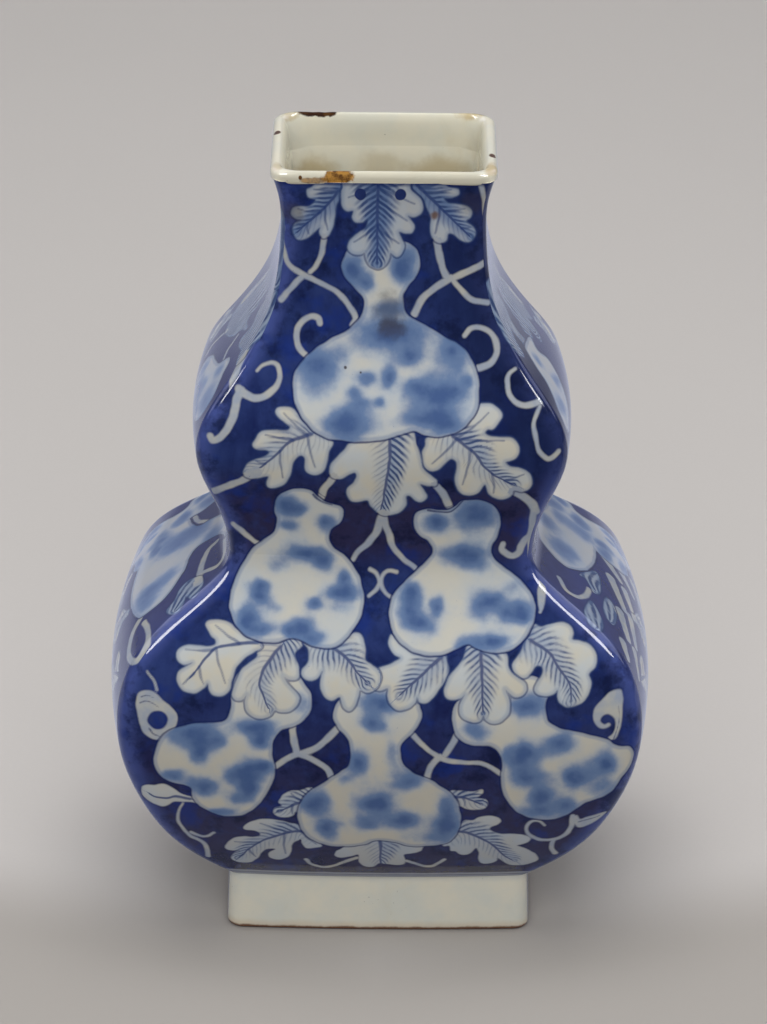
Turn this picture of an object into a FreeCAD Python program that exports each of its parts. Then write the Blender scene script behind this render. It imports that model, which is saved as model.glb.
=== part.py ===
import FreeCAD, Part
import Sketcher
import math
import os

# Double gourd vase of rectangular section, slab built in porcelain.
# Frame: origin at the middle of the resting plane, +Z up, -Y is the front, millimetres.
# Every wall, strip and coil is a separate solid, divided where the potter luted it.

doc = FreeCAD.newDocument("double_gourd_vase")
sheet = doc.addObject("Spreadsheet::Sheet", "Sizes")
V = {}
line = [1]


def size(alias, value, note):
    r = line[0]
    sheet.set("A%d" % r, note)
    sheet.set("B%d" % r, str(value))
    sheet.setAlias("B%d" % r, alias)
    V[alias] = float(value)
    line[0] += 1


# ---- laws shared by all sections ------------------------------------------
size("depth_ratio", 0.613, "change of half depth per change of half width")
size("depth_base", 32.31, "half depth where the half width is width_base")
size("width_base", 40.0, "half width that depth_base belongs to")
size("neck_half", 25.5, "half width of the neck, the smallest section")
size("bow_front_base", 0.5, "bow of the front face at the neck")
size("bow_front_slope", 0.09, "more bow per mm of half width, front face")
size("bow_side_base", 0.3, "bow of the side face at the neck")
size("bow_side_slope", 0.085, "more bow per mm of half width, side face")
size("arris_base", 3.0, "rounding of the arris at the neck")
size("arris_slope", 0.04, "more rounding per mm of half width")

# ---- lower bulb: height, half width at the arris, slab thickness ------------
LOWER = [(16.0, 39.0, 4.0), (22.0, 46.1, 4.0), (30.0, 53.5, 4.0),
         (40.0, 59.5, 4.0), (52.0, 64.2, 4.0), (64.0, 66.0, 4.0),
         (75.0, 64.6, 4.0), (84.0, 59.9, 3.8), (91.0, 52.3, 3.5),
         (97.0, 44.0, 3.2), (102.0, 39.1, 3.0), (105.7, 38.1, 3.0)]
# ---- upper bulb and neck ---------------------------------------------------
UPPER = [(105.7, 38.1, 3.0), (109.5, 38.5, 3.0), (116.0, 40.2, 3.1),
         (123.0, 43.1, 3.2), (130.0, 45.6, 3.2), (136.5, 46.1, 3.2),
         (144.0, 43.4, 3.1), (152.0, 37.8, 2.9), (160.0, 32.5, 2.7),
         (168.0, 28.6, 2.5), (177.0, 26.4, 2.4), (188.0, 25.5, 2.3),
         (197.0, 25.9, 2.1), (202.4, 27.3, 1.7)]
for i, (z, a, t) in enumerate(LOWER):
    size("lower_height_no%d" % i, z, "lower bulb station %d, height" % i)
    size("lower_half_no%d" % i, a, "lower bulb station %d, half width" % i)
    size("lower_wall_no%d" % i, t, "lower bulb station %d, slab thickness" % i)
for i, (z, a, t) in enumerate(UPPER):
    size("upper_height_no%d" % i, z, "upper bulb station %d, height" % i)
    size("upper_half_no%d" % i, a, "upper bulb station %d, half width" % i)
    size("upper_wall_no%d" % i, t, "upper bulb station %d, slab thickness" % i)

# ---- mouth, foot, floor, seams ---------------------------------------------
size("lip_half", 28.2, "mouth lip, half width")
size("lip_depth", 25.05, "mouth lip, half depth")
size("lip_height", 2.6, "mouth lip, height")
size("lip_round_top", 0.9, "mouth lip, rounding of the top edges")
size("lip_round_under", 0.7, "mouth lip, rounding of the lower outer edge")
size("lip_corner", 3.2, "mouth lip, rounding of the outer corners")
size("lip_corner_inside", 2.6, "mouth lip, rounding of the inner corners")
size("foot_half_low", 39.0, "foot, half width at the resting plane")
size("foot_half_high", 38.4, "foot, half width at the joint")
size("foot_wall", 4.2, "foot, strip thickness")
size("foot_corner", 3.4, "foot, rounding of the corners")
size("foot_bow", 1.1, "foot, bow of the strips")
size("foot_round", 0.8, "foot, rounding of the outer resting edge")
size("floor_thick", 4.0, "floor slab, thickness")
size("floor_reach", 36.2, "floor slab, half width before trimming to the foot")
size("coil_leg", 6.5, "corner coil, leg along each wall, lower bulb")
size("coil_leg_upper", 3.6, "corner coil, leg along each wall, upper bulb")
size("coil_bed", 0.6, "how far a coil is drawn into the wall before trimming")
size("waist_inside", 33.6, "waist band, half width of the passage")
size("waist_mid", 36.7, "waist band, half width inside the wall thickness")
size("waist_low", 102.0, "waist band, lower edge")
size("waist_high", 109.5, "waist band, upper edge")
size("floor_coil_low", 37.0, "floor coil, half width in the wall at the floor")
size("floor_coil_high", 44.0, "floor coil, half width in the wall at its top")
size("floor_coil_toe", 31.5, "floor coil, half width of its toe on the floor")
size("floor_coil_top", 41.0, "floor coil, half width of its upper edge")
size("overall_height", 205.0, "height of the vase")
doc.recompute()


class Size:
    """a length with its formula over the sheet; the value draws a curve, the formula drives it"""

    def __init__(self, text, value):
        self.text, self.value = text, value

    @staticmethod
    def of(x):
        return x if isinstance(x, Size) else Size(repr(float(x)), float(x))

    def __add__(self, o):
        o = Size.of(o)
        return Size("(%s + %s)" % (self.text, o.text), self.value + o.value)

    def __sub__(self, o):
        o = Size.of(o)
        return Size("(%s - %s)" % (self.text, o.text), self.value - o.value)

    def __mul__(self, o):
        o = Size.of(o)
        return Size("(%s * %s)" % (self.text, o.text), self.value * o.value)

    def __truediv__(self, o):
        o = Size.of(o)
        return Size("(%s / %s)" % (self.text, o.text), self.value / o.value)


def E(name):
    return Size("Sizes." + name, V[name])


def half_depth(a):
    return E("depth_base") + E("depth_ratio") * (a - E("width_base"))


def bow_front(a):
    return E("bow_front_base") + E("bow_front_slope") * (a - E("neck_half"))


def bow_side(a):
    return E("bow_side_base") + E("bow_side_slope") * (a - E("neck_half"))


def arris(a):
    return E("arris_base") + E("arris_slope") * (a - E("neck_half"))


def plane_of(body, role):
    for o in body.Origin.OriginFeatures:
        if o.Role == role:
            return o
    raise RuntimeError(role)


def lift(sketch, body, height):
    sketch.AttachmentSupport = [(plane_of(body, "XY_Plane"), "")]
    sketch.MapMode = "FlatFace"
    sketch.setExpression("AttachmentOffset.Base.z", Size.of(height).text)


def corner_circle(a, b, sf, ss, r):
    """circle of radius r that touches the front bow and the side bow inside the corner"""
    rf = (a * a + sf * sf) / (2 * sf)
    rs = (b * b + ss * ss) / (2 * ss)
    cf = (0.0, (b + sf) - rf)
    cs = ((a + ss) - rs, 0.0)
    d1, d2 = rf - r, rs - r
    dx, dy = cs[0] - cf[0], cs[1] - cf[1]
    d = math.hypot(dx, dy)
    u = (d1 * d1 - d2 * d2 + d * d) / (2 * d)
    h = math.sqrt(max(d1 * d1 - u * u, 0.0))
    mx, my = cf[0] + u * dx / d, cf[1] + u * dy / d
    best = None
    for s in (1, -1):
        q = (mx - s * h * dy / d, my + s * h * dx / d)
        if q[0] > 0 and q[1] > 0:
            best = q
    return rf, rs, cf, cs, best


def section(body, name, height, a, b, sf, ss, r):
    """closed outline of four bowed faces; r None gives sharp corners"""
    sk = body.newObject("Sketcher::SketchObject", name)
    lift(sk, body, height)
    av, bv, fv, sv = a.value, b.value, sf.value, ss.value
    big_f = (a * a + sf * sf) / (sf * 2)
    big_s = (b * b + ss * ss) / (ss * 2)
    off_f = big_f - b - sf
    off_s = big_s - a - ss
    up = FreeCAD.Vector(0, 0, 1)
    P = FreeCAD.Vector
    arc = lambda c, rad, t0, t1: Part.ArcOfCircle(Part.Circle(P(c[0], c[1], 0), up, rad), t0, t1)
    C = Sketcher.Constraint
    pi = math.pi
    if r is not None:
        rv = r.value
        rf, rs, cf, cs, q = corner_circle(av, bv, fv, sv, rv)
        tf = math.atan2(q[0] - cf[0], q[1] - cf[1])
        ts = math.atan2(q[1] - cs[1], q[0] - cs[0])
        sk.addGeometry([
            arc((0, -cf[1]), rf, -pi / 2 - tf, -pi / 2 + tf),
            arc((q[0], -q[1]), rv, -pi / 2 + tf, -ts),
            arc((cs[0], 0), rs, -ts, ts),
            arc((q[0], q[1]), rv, ts, pi / 2 - tf),
            arc((0, cf[1]), rf, pi / 2 - tf, pi / 2 + tf),
            arc((-q[0], q[1]), rv, pi / 2 + tf, pi - ts),
            arc((-cs[0], 0), rs, pi - ts, pi + ts),
            arc((-q[0], -q[1]), rv, pi + ts, 1.5 * pi - tf)], False)
        faces = (0, 2, 4, 6)
        cons = [C("Tangent", i, 2, (i + 1) % 8, 1) for i in range(8)]
        cons += [C("Equal", 1, 3), C("Equal", 1, 5), C("Equal", 1, 7)]
    else:
        rf = (av * av + fv * fv) / (2 * fv)
        rs = (bv * bv + sv * sv) / (2 * sv)
        cf = (0.0, (bv + fv) - rf)
        cs = ((av + sv) - rs, 0.0)
        tf = math.atan2(av, bv - cf[1])
        ts = math.atan2(bv, av - cs[0])
        sk.addGeometry([
            arc((0, -cf[1]), rf, -pi / 2 - tf, -pi / 2 + tf),
            arc((cs[0], 0), rs, -ts, ts),
            arc((0, cf[1]), rf, pi / 2 - tf, pi / 2 + tf),
            arc((-cs[0], 0), rs, pi - ts, pi + ts)], False)
        faces = (0, 1, 2, 3)
        cons = [C("Coincident", i, 2, (i + 1) % 4, 1) for i in range(4)]
    f0, f1, f2, f3 = faces
    cons += [C("Equal", f0, f2), C("Equal", f1, f3),
             C("PointOnObject", f0, 3, -2), C("PointOnObject", f2, 3, -2),
             C("PointOnObject", f1, 3, -1), C("PointOnObject", f3, 3, -1)]
    sk.addConstraint(cons)
    # face centres lie behind the opposite face, so their distances are positive
    jobs = [(C("Radius", f0, rf), "face_front", big_f), (C("Radius", f1, rs), "face_side", big_s),
            (C("DistanceY", -1, 1, f0, 3, -cf[1]), "centre_front", off_f),
            (C("DistanceY", f2, 3, -1, 1, -cf[1]), "centre_back", off_f),
            (C("DistanceX", f1, 3, -1, 1, -cs[0]), "centre_right", off_s),
            (C("DistanceX", -1, 1, f3, 3, -cs[0]), "centre_left", off_s)]
    if r is not None:
        jobs.append((C("Radius", 1, rv), "arris", r))
    for con, label, formula in jobs:
        k = sk.addConstraint(con)
        sk.renameConstraint(k, label)
        sk.setExpression("Constraints." + label, formula.text)
    return sk


def loft(body, kind, name, sections, ruled=False):
    f = body.newObject("PartDesign::" + kind, name)
    f.Profile = sections[0]
    f.Sections = sections[1:]
    f.Ruled = ruled
    f.Closed = False
    return f


def hide(o):
    if hasattr(o, "Visibility"):
        o.Visibility = False


# ---- the two shells, before they are divided along the luted seams ----------
def shell(name, zone, count):
    body = doc.addObject("PartDesign::Body", name)
    outer, inner = [], []
    for i in range(count):
        A = E("%s_half_no%d" % (zone, i))
        T = E("%s_wall_no%d" % (zone, i))
        Z = E("%s_height_no%d" % (zone, i))
        outer.append(section(body, "%s_outer_%d" % (zone, i), Z, A, half_depth(A),
                             bow_front(A), bow_side(A), arris(A)))
    form = loft(body, "AdditiveLoft", zone + "_form", outer)
    for i in range(count):
        A = E("%s_half_no%d" % (zone, i))
        T = E("%s_wall_no%d" % (zone, i))
        Z = E("%s_height_no%d" % (zone, i))
        inner.append(section(body, "%s_inner_%d" % (zone, i), Z, A - T,
                             half_depth(A) - T, bow_front(A), bow_side(A), None))
    hollow = loft(body, "SubtractiveLoft", zone + "_hollow", inner)
    body.Tip = hollow
    return body


lower_shell = shell("lower_shell", "lower", len(LOWER))
upper_shell = shell("upper_shell", "upper", len(UPPER))
doc.recompute()

# ---- foot ring: two sections, the foot spreads a little towards the ground ---
foot = doc.addObject("PartDesign::Body", "foot_ring")
fl, fh = E("foot_half_low"), E("foot_half_high")
fw, fb = E("foot_wall"), E("foot_bow")
o1 = section(foot, "foot_outer_low", 0, fl, half_depth(fl), fb, fb, E("foot_corner"))
o2 = section(foot, "foot_outer_high", E("lower_height_no0"), fh, half_depth(fh), fb, fb, E("foot_corner"))
loft(foot, "AdditiveLoft", "foot_form", [o1, o2], True)
i1 = section(foot, "foot_inner_low", 0, fh - fw, half_depth(fh) - fw, fb, fb, Size.of(1.5))
i2 = section(foot, "foot_inner_high", E("lower_height_no0"), fh - fw, half_depth(fh) - fw, fb, fb, Size.of(1.5))
foot.Tip = loft(foot, "SubtractiveLoft", "foot_hollow", [i1, i2], True)
doc.recompute()
edges = []
for n, e in enumerate(foot.Tip.Shape.Edges):
    bb = e.BoundBox
    if bb.ZMax < 0.01:
        m = e.valueAt((e.FirstParameter + e.LastParameter) / 2)
        half = V["foot_half_low"]
        if abs(m.x) > half - V["foot_wall"] * 0.45 - 1.2 or \
           abs(m.y) > V["depth_base"] + V["depth_ratio"] * (half - V["width_base"]) - V["foot_wall"] * 0.45 - 1.2:
            edges.append("Edge%d" % (n + 1))
fr = foot.newObject("PartDesign::Fillet", "foot_edge")
fr.Base = (foot.getObject("foot_hollow") or doc.getObject("foot_hollow"), edges)
fr.setExpression("Radius", E("foot_round").text)
foot.Tip = fr
doc.recompute()


# ---- wedges between the mitre planes: front, right, back, left ---------------
def wedge(name, which):
    sk = doc.addObject("Sketcher::SketchObject", name + "_plan")
    P = FreeCAD.Vector
    C = Sketcher.Constraint
    root = half_depth(Size.of(0))
    far = half_depth(Size.of(90))
    rv, fv = root.value, far.value
    if which in ("front", "back"):
        s = -1 if which == "front" else 1
        pts = [(0, s * rv), (90, s * fv), (90, s * 100), (-90, s * 100), (-90, s * fv)]
    else:
        s = -1 if which == "left" else 1
        pts = [(0, -rv), (s * 90, -fv), (s * 90, fv), (0, rv)]
    n = len(pts)
    for i in range(n):
        a, b = pts[i], pts[(i + 1) % n]
        sk.addGeometry(Part.LineSegment(P(a[0], a[1], 0), P(b[0], b[1], 0)), False)
    sk.addConstraint([C("Coincident", i, 2, (i + 1) % n, 1) for i in range(n)])

    def fix(i, axis, value, expr, tag):
        if abs(value) < 1e-9:
            sk.addConstraint(C("PointOnObject", i, 1, -2 if axis == "X" else -1))
            return
        if value > 0:
            k = sk.addConstraint(C("Distance" + axis, -1, 1, i, 1, value))
        else:
            k = sk.addConstraint(C("Distance" + axis, i, 1, -1, 1, -value))
        if expr:
            sk.renameConstraint(k, tag)
            sk.setExpression("Constraints." + tag, expr.text)

    for i, (px, py) in enumerate(pts):
        fix(i, "X", px, None, "")
        ex = root if abs(abs(py) - rv) < 1e-9 else (far if abs(abs(py) - fv) < 1e-9 else None)
        fix(i, "Y", py, ex, "reach%d" % i)
    ext = doc.addObject("Part::Extrusion", name)
    ext.Base = sk
    ext.DirMode = "Custom"
    ext.Dir = FreeCAD.Vector(0, 0, 1)
    ext.LengthFwd = 230
    ext.Solid = True
    ext.Placement = FreeCAD.Placement(FreeCAD.Vector(0, 0, -5), FreeCAD.Rotation())
    return ext


wedges = {w: wedge("wedge_" + w, w) for w in ("front", "right", "back", "left")}
doc.recompute()

nodes = []


def keep(obj, label):
    obj.Label = label
    nodes.append(obj)
    return obj


def common(label, base, tool):
    c = doc.addObject("Part::Common", label)
    c.Base = base
    c.Tool = tool
    return keep(c, label)


for w in ("front", "back", "left", "right"):
    common("lower_%s_wall" % w, lower_shell, wedges[w])
for w in ("front", "back", "left", "right"):
    common("upper_%s_wall" % w, upper_shell, wedges[w])
for w in ("front", "back", "left", "right"):
    common("foot_%s_strip" % w, foot, wedges[w])
doc.recompute()

# ---- mouth lip ----------------------------------------------------------------
lip = doc.addObject("PartDesign::Body", "mouth_lip")
top = len(UPPER) - 1
TA, TT = E("upper_half_no%d" % top), E("upper_wall_no%d" % top)
zl = E("upper_height_no%d" % top)
ls = section(lip, "lip_outline", zl, E("lip_half"), E("lip_depth"), E("bow_front_base"), E("bow_side_base"), E("lip_corner"))
pad = lip.newObject("PartDesign::Pad", "lip_band")
pad.Profile = ls
pad.setExpression("Length", E("lip_height").text)
li = section(lip, "lip_mouth", zl, TA - TT, half_depth(TA) - TT,
             E("bow_front_base"), E("bow_side_base"), E("lip_corner_inside"))
cut = lip.newObject("PartDesign::Pocket", "lip_opening")
cut.Profile = li
cut.Reversed = True
cut.setExpression("Length", E("lip_height").text)
lip.Tip = cut
doc.recompute()
z0, z1 = V["upper_height_no%d" % top], V["upper_height_no%d" % top] + V["lip_height"]
topedges, under = [], []
for n, e in enumerate(cut.Shape.Edges):
    bb = e.BoundBox
    m = e.valueAt((e.FirstParameter + e.LastParameter) / 2)
    if bb.ZMin > z1 - 0.01:
        topedges.append("Edge%d" % (n + 1))
    elif bb.ZMax < z0 + 0.01 and (abs(m.x) > V["lip_half"] - 1.4 or abs(m.y) > V["lip_depth"] - 1.4):
        under.append("Edge%d" % (n + 1))
f1 = lip.newObject("PartDesign::Fillet", "lip_top_rounding")
f1.Base = (cut, topedges)
f1.setExpression("Radius", E("lip_round_top").text)
lip.Tip = f1
doc.recompute()
under = []
for n, e in enumerate(f1.Shape.Edges):
    bb = e.BoundBox
    m = e.valueAt((e.FirstParameter + e.LastParameter) / 2)
    if bb.ZMax < z0 + 0.01 and (abs(m.x) > V["lip_half"] - 1.3 or abs(m.y) > V["lip_depth"] - 1.3):
        under.append("Edge%d" % (n + 1))
f2 = lip.newObject("PartDesign::Fillet", "lip_under_rounding")
f2.Base = (f1, under)
f2.setExpression("Radius", E("lip_round_under").text)
lip.Tip = f2
doc.recompute()
keep(lip, "mouth_lip")

# ---- floor slab, set up between the foot strips --------------------------------
fs = doc.addObject("PartDesign::Body", "floor_blank")
fr_ = E("floor_reach")
sk = section(fs, "floor_plan", E("lower_height_no0") - E("floor_thick"), fr_, half_depth(fr_), fb, fb, Size.of(2))
pad = fs.newObject("PartDesign::Pad", "floor_pad")
pad.Profile = sk
pad.setExpression("Length", E("floor_thick").text)
fs.Tip = pad
doc.recompute()
slab = doc.addObject("Part::Cut", "floor_slab")
slab.Base = fs
slab.Tool = foot
keep(slab, "floor_slab")

# ---- waist band, smoothed over the seam between the bulbs -----------------------
wb = doc.addObject("PartDesign::Body", "waist_blank")
wm, wi = E("waist_mid"), E("waist_inside")
rise = E("waist_high") - E("waist_low")
WA = E("lower_half_no%d" % (len(LOWER) - 1))
sk = section(wb, "waist_plan", E("waist_low"), wm, half_depth(WA) - WA + wm, bow_front(wm), bow_side(wm), Size.of(3))
pad = wb.newObject("PartDesign::Pad", "waist_pad")
pad.Profile = sk
pad.setExpression("Length", rise.text)
sk = section(wb, "waist_passage", E("waist_low"), wi, half_depth(WA) - WA + wi, bow_front(wi), bow_side(wi), Size.of(5))
cut = wb.newObject("PartDesign::Pocket", "waist_open")
cut.Profile = sk
cut.Reversed = True
cut.setExpression("Length", rise.text)
wb.Tip = cut
doc.recompute()
w1 = doc.addObject("Part::Cut", "waist_trim")
w1.Base = wb
w1.Tool = lower_shell
w2 = doc.addObject("Part::Cut", "waist_band")
w2.Base = w1
w2.Tool = upper_shell
keep(w2, "waist_band")

# ---- floor coil, in the angle between the floor and the walls --------------------
fc = doc.addObject("PartDesign::Body", "floor_coil_blank")
zf, zt = E("lower_height_no0"), E("lower_height_no1")
cl_, ch_ = E("floor_coil_low"), E("floor_coil_high")
ct_, cu_ = E("floor_coil_toe"), E("floor_coil_top")
A0, A1 = E("lower_half_no0"), E("lower_half_no1")


def dep(A, a):
    return half_depth(A) - A + a


s1 = section(fc, "coil_low", zf, cl_, dep(A0, cl_), bow_front(A0), bow_side(A0), Size.of(2.5))
s2 = section(fc, "coil_high", zt, ch_, dep(A1, ch_), bow_front(A1), bow_side(A1), Size.of(3))
loft(fc, "AdditiveLoft", "coil_form", [s1, s2], True)
s3 = section(fc, "coil_toe", zf, ct_, dep(A0, ct_), bow_front(A0), bow_side(A0), Size.of(4))
s4 = section(fc, "coil_top", zt, cu_, dep(A1, cu_), bow_front(A1), bow_side(A1), Size.of(6))
fc.Tip = loft(fc, "SubtractiveLoft", "coil_hollow", [s3, s4], True)
doc.recompute()
c1 = doc.addObject("Part::Cut", "floor_coil")
c1.Base = fc
c1.Tool = lower_shell
keep(c1, "floor_coil")


# ---- corner coils: one corner is modelled, the other three are its mirror images --
def coil(zone, first, last, leg, tool):
    body = doc.addObject("PartDesign::Body", zone + "_coil_blank")
    C = Sketcher.Constraint
    P = FreeCAD.Vector
    sks = []
    for i in range(first, last + 1):
        A = E("%s_half_no%d" % (zone, i))
        T = E("%s_wall_no%d" % (zone, i))
        Z = E("%s_height_no%d" % (zone, i))
        a = A - T
        b = half_depth(A) - T
        bed = E("coil_bed")
        # heel in the wall's corner, one toe on the front face, one on the side face
        hx, hy = a + bed, b + bed
        x1 = a - leg
        y1 = b + bed + bow_front(A) * leg * 2 / a
        x2 = a + bed + bow_side(A) * leg * 2 / b
        y2 = b - leg
        n = [q.value for q in (hx, hy, x1, y1, x2, y2)]
        H, P1, P2 = P(n[0], -n[1], 0), P(n[2], -n[3], 0), P(n[4], -n[5], 0)
        sk = body.newObject("Sketcher::SketchObject", "%s_coil_%d" % (zone, i))
        lift(sk, body, Z)
        rad = (leg + bed) * 2.2
        rv = rad.value
        mid = (P1 + P2) * 0.5
        d = (P2 - P1)
        half = d.Length / 2
        off = math.sqrt(max(rv * rv - half * half, 1e-6))
        nrm = P(-d.y, d.x, 0).normalize()
        if (mid - H).dot(nrm) < 0:
            nrm = nrm * -1
        c = mid + nrm * off
        t1 = math.atan2(P1.y - c.y, P1.x - c.x)
        t2 = math.atan2(P2.y - c.y, P2.x - c.x)
        if t2 < t1:
            t2 += 2 * math.pi
        sk.addGeometry([Part.LineSegment(P1, H), Part.LineSegment(H, P2)], False)
        sk.addGeometry(Part.ArcOfCircle(Part.Circle(c, P(0, 0, 1), rv), t1, t2), False)
        sk.addConstraint([C("Coincident", 0, 2, 1, 1), C("Coincident", 0, 1, 2, 1), C("Coincident", 1, 2, 2, 2)])
        for con, tag, ex in ((C("DistanceX", -1, 1, 1, 1, n[0]), "heel_x", hx),
                             (C("DistanceY", 1, 1, -1, 1, n[1]), "heel_y", hy),
                             (C("DistanceX", -1, 1, 0, 1, n[2]), "front_x", x1),
                             (C("DistanceY", 0, 1, -1, 1, n[3]), "front_y", y1),
                             (C("DistanceX", -1, 1, 1, 2, n[4]), "side_x", x2),
                             (C("DistanceY", 1, 2, -1, 1, n[5]), "side_y", y2),
                             (C("Radius", 2, rv), "hollow", rad)):
            k = sk.addConstraint(con)
            sk.renameConstraint(k, tag)
            sk.setExpression("Constraints." + tag, ex.text)
        sks.append(sk)
    body.Tip = loft(body, "AdditiveLoft", zone + "_coil_form", sks)
    doc.recompute()
    one = doc.addObject("Part::Cut", "%s_front_right_coil" % zone)
    one.Base = body
    one.Tool = tool
    keep(one, "%s_front_right_coil" % zone)

    def mirror(src, label, normal):
        m = doc.addObject("Part::Mirroring", label)
        m.Source = src
        m.Normal = normal
        m.Base = FreeCAD.Vector(0, 0, 0)
        return keep(m, label)

    mirror(one, "%s_front_left_coil" % zone, FreeCAD.Vector(1, 0, 0))
    back = mirror(one, "%s_back_right_coil" % zone, FreeCAD.Vector(0, 1, 0))
    mirror(back, "%s_back_left_coil" % zone, FreeCAD.Vector(1, 0, 0))


coil("lower", 1, 10, E("coil_leg"), lower_shell)
coil("upper", 1, len(UPPER) - 1, E("coil_leg_upper"), upper_shell)
doc.recompute()

# ---- checks and export ----------------------------------------------------------
for o in doc.Objects:
    bad = [s for s in o.State if s in ("Invalid", "Error")]
    if bad:
        raise RuntimeError("%s %s" % (o.Name, o.State))
os.makedirs("parts", exist_ok=True)
total = 0
for o in nodes:
    if o.Shape.isNull() or not o.Shape.isValid() or len(o.Shape.Solids) < 1:
        raise RuntimeError("bad shape " + o.Label)
    total += 1
    o.Shape.exportStep("parts/%s.step" % o.Label)
    bb = o.Shape.BoundBox
    print("%-26s solids %d vol %9.1f  z %.2f..%.2f  x %.2f..%.2f  y %.2f..%.2f" % (
        o.Label, len(o.Shape.Solids), o.Shape.Volume, bb.ZMin, bb.ZMax, bb.XMin, bb.XMax, bb.YMin, bb.YMax))
print(total, "parts written")
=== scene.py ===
import math
import bpy
import numpy as np
from mathutils import Matrix, Vector


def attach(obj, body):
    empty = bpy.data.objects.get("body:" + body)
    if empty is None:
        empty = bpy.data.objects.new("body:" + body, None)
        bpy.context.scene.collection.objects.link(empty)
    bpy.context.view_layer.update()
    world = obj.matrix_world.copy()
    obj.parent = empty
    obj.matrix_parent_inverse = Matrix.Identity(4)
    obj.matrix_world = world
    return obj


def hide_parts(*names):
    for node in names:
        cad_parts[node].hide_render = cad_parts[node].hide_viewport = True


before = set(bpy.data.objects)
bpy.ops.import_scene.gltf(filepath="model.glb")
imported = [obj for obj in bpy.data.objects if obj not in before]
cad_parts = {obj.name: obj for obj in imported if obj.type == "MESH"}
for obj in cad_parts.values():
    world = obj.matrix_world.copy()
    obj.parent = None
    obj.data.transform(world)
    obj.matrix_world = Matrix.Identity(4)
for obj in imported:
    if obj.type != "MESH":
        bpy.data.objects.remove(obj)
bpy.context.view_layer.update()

# A rectangular double gourd vase. Lengths are millimetres until a mesh is made (MM turns them into metres).
MM = 0.001


# ---------------------------------------------------------------- the vase's own geometry (millimetres)
# height, half width of the front face at the corner, wall thickness
LOWER = [(16, 39.0, 4), (22, 46.1, 4), (30, 53.5, 4), (40, 59.5, 4), (52, 64.2, 4), (64, 66.0, 4), (75, 64.6, 4),
         (84, 59.9, 3.8), (91, 52.3, 3.5), (97, 44.0, 3.2), (102, 39.1, 3.0), (105.7, 38.1, 3.0)]
UPPER = [(105.7, 38.1, 3.0), (109.5, 38.5, 3.0), (116, 40.2, 3.1), (123, 43.1, 3.2), (130, 45.6, 3.2),
         (136.5, 46.1, 3.2), (144, 43.4, 3.1), (152, 37.8, 2.9), (160, 32.5, 2.7), (168, 28.6, 2.5), (177, 26.4, 2.4),
         (188, 25.5, 2.3), (197, 25.9, 2.1), (202.4, 27.3, 1.7)]


def spline(xs, ys):
    """A natural cubic through the given points."""
    xs, ys = np.array(xs, float), np.array(ys, float)
    n, h = len(xs), np.diff(np.array(xs, float))
    m = np.zeros((n, n))
    rhs = np.zeros(n)
    m[0, 0] = m[-1, -1] = 1
    for i in range(1, n - 1):
        m[i, i - 1], m[i, i], m[i, i + 1] = h[i - 1], 2 * (h[i - 1] + h[i]), h[i]
        rhs[i] = 6 * ((ys[i + 1] - ys[i]) / h[i] - (ys[i] - ys[i - 1]) / h[i - 1])
    c = np.linalg.solve(m, rhs)

    def f(x):
        x = np.asarray(x, float)
        k = np.clip(np.searchsorted(xs, x) - 1, 0, n - 2)
        t, hk = x - xs[k], h[k]
        b = (ys[k + 1] - ys[k]) / hk - hk * (2 * c[k] + c[k + 1]) / 6
        return ys[k] + b * t + c[k] / 2 * t ** 2 + (c[k + 1] - c[k]) / (6 * hk) * t ** 3
    return f


BULB = {"lower": LOWER, "upper": UPPER}
HALF = {k: spline([p[0] for p in v], [p[1] for p in v]) for k, v in BULB.items()}
WALL = {k: spline([p[0] for p in v], [p[2] for p in v]) for k, v in BULB.items()}
MITRE = 0.613


FOOT_ROUND = 1.3


def dims(part, z, inner=False):
    """Half width, half depth, bows of the wide and narrow faces, and corner radius at height z."""
    z = np.asarray(z, float)
    if part == "foot":
        a = 39.0 - 0.6 * z / 16
        b = 32.31 + MITRE * (a - 40)
        if inner:
            return a - 4.2, b - 4.2, 1.1 + 0 * a, 0.8 + 0 * a, 1.2 + 0 * a
        up = np.clip(z, 0, FOOT_ROUND)
        o = FOOT_ROUND - np.sqrt(np.maximum(FOOT_ROUND ** 2 - (FOOT_ROUND - up) ** 2, 0))
        o = np.minimum(o, 1.15)
        return a - o, b - o, 1.1 + 0 * a, 0.8 + 0 * a, 4.1 - 0.6 * o
    a = HALF[part](z)
    sf, ss = 0.5 + 0.09 * (a - 25.5), 0.3 + 0.085 * (a - 25.5)
    r = 3.0 + 0.04 * (a - 25.5)
    b = 32.31 + MITRE * (a - 40)
    if inner:
        t = WALL[part](z)
        a, b, r = a - t, b - t, np.maximum(r - t, 0.9)
    return a, b, sf, ss, r


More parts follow.
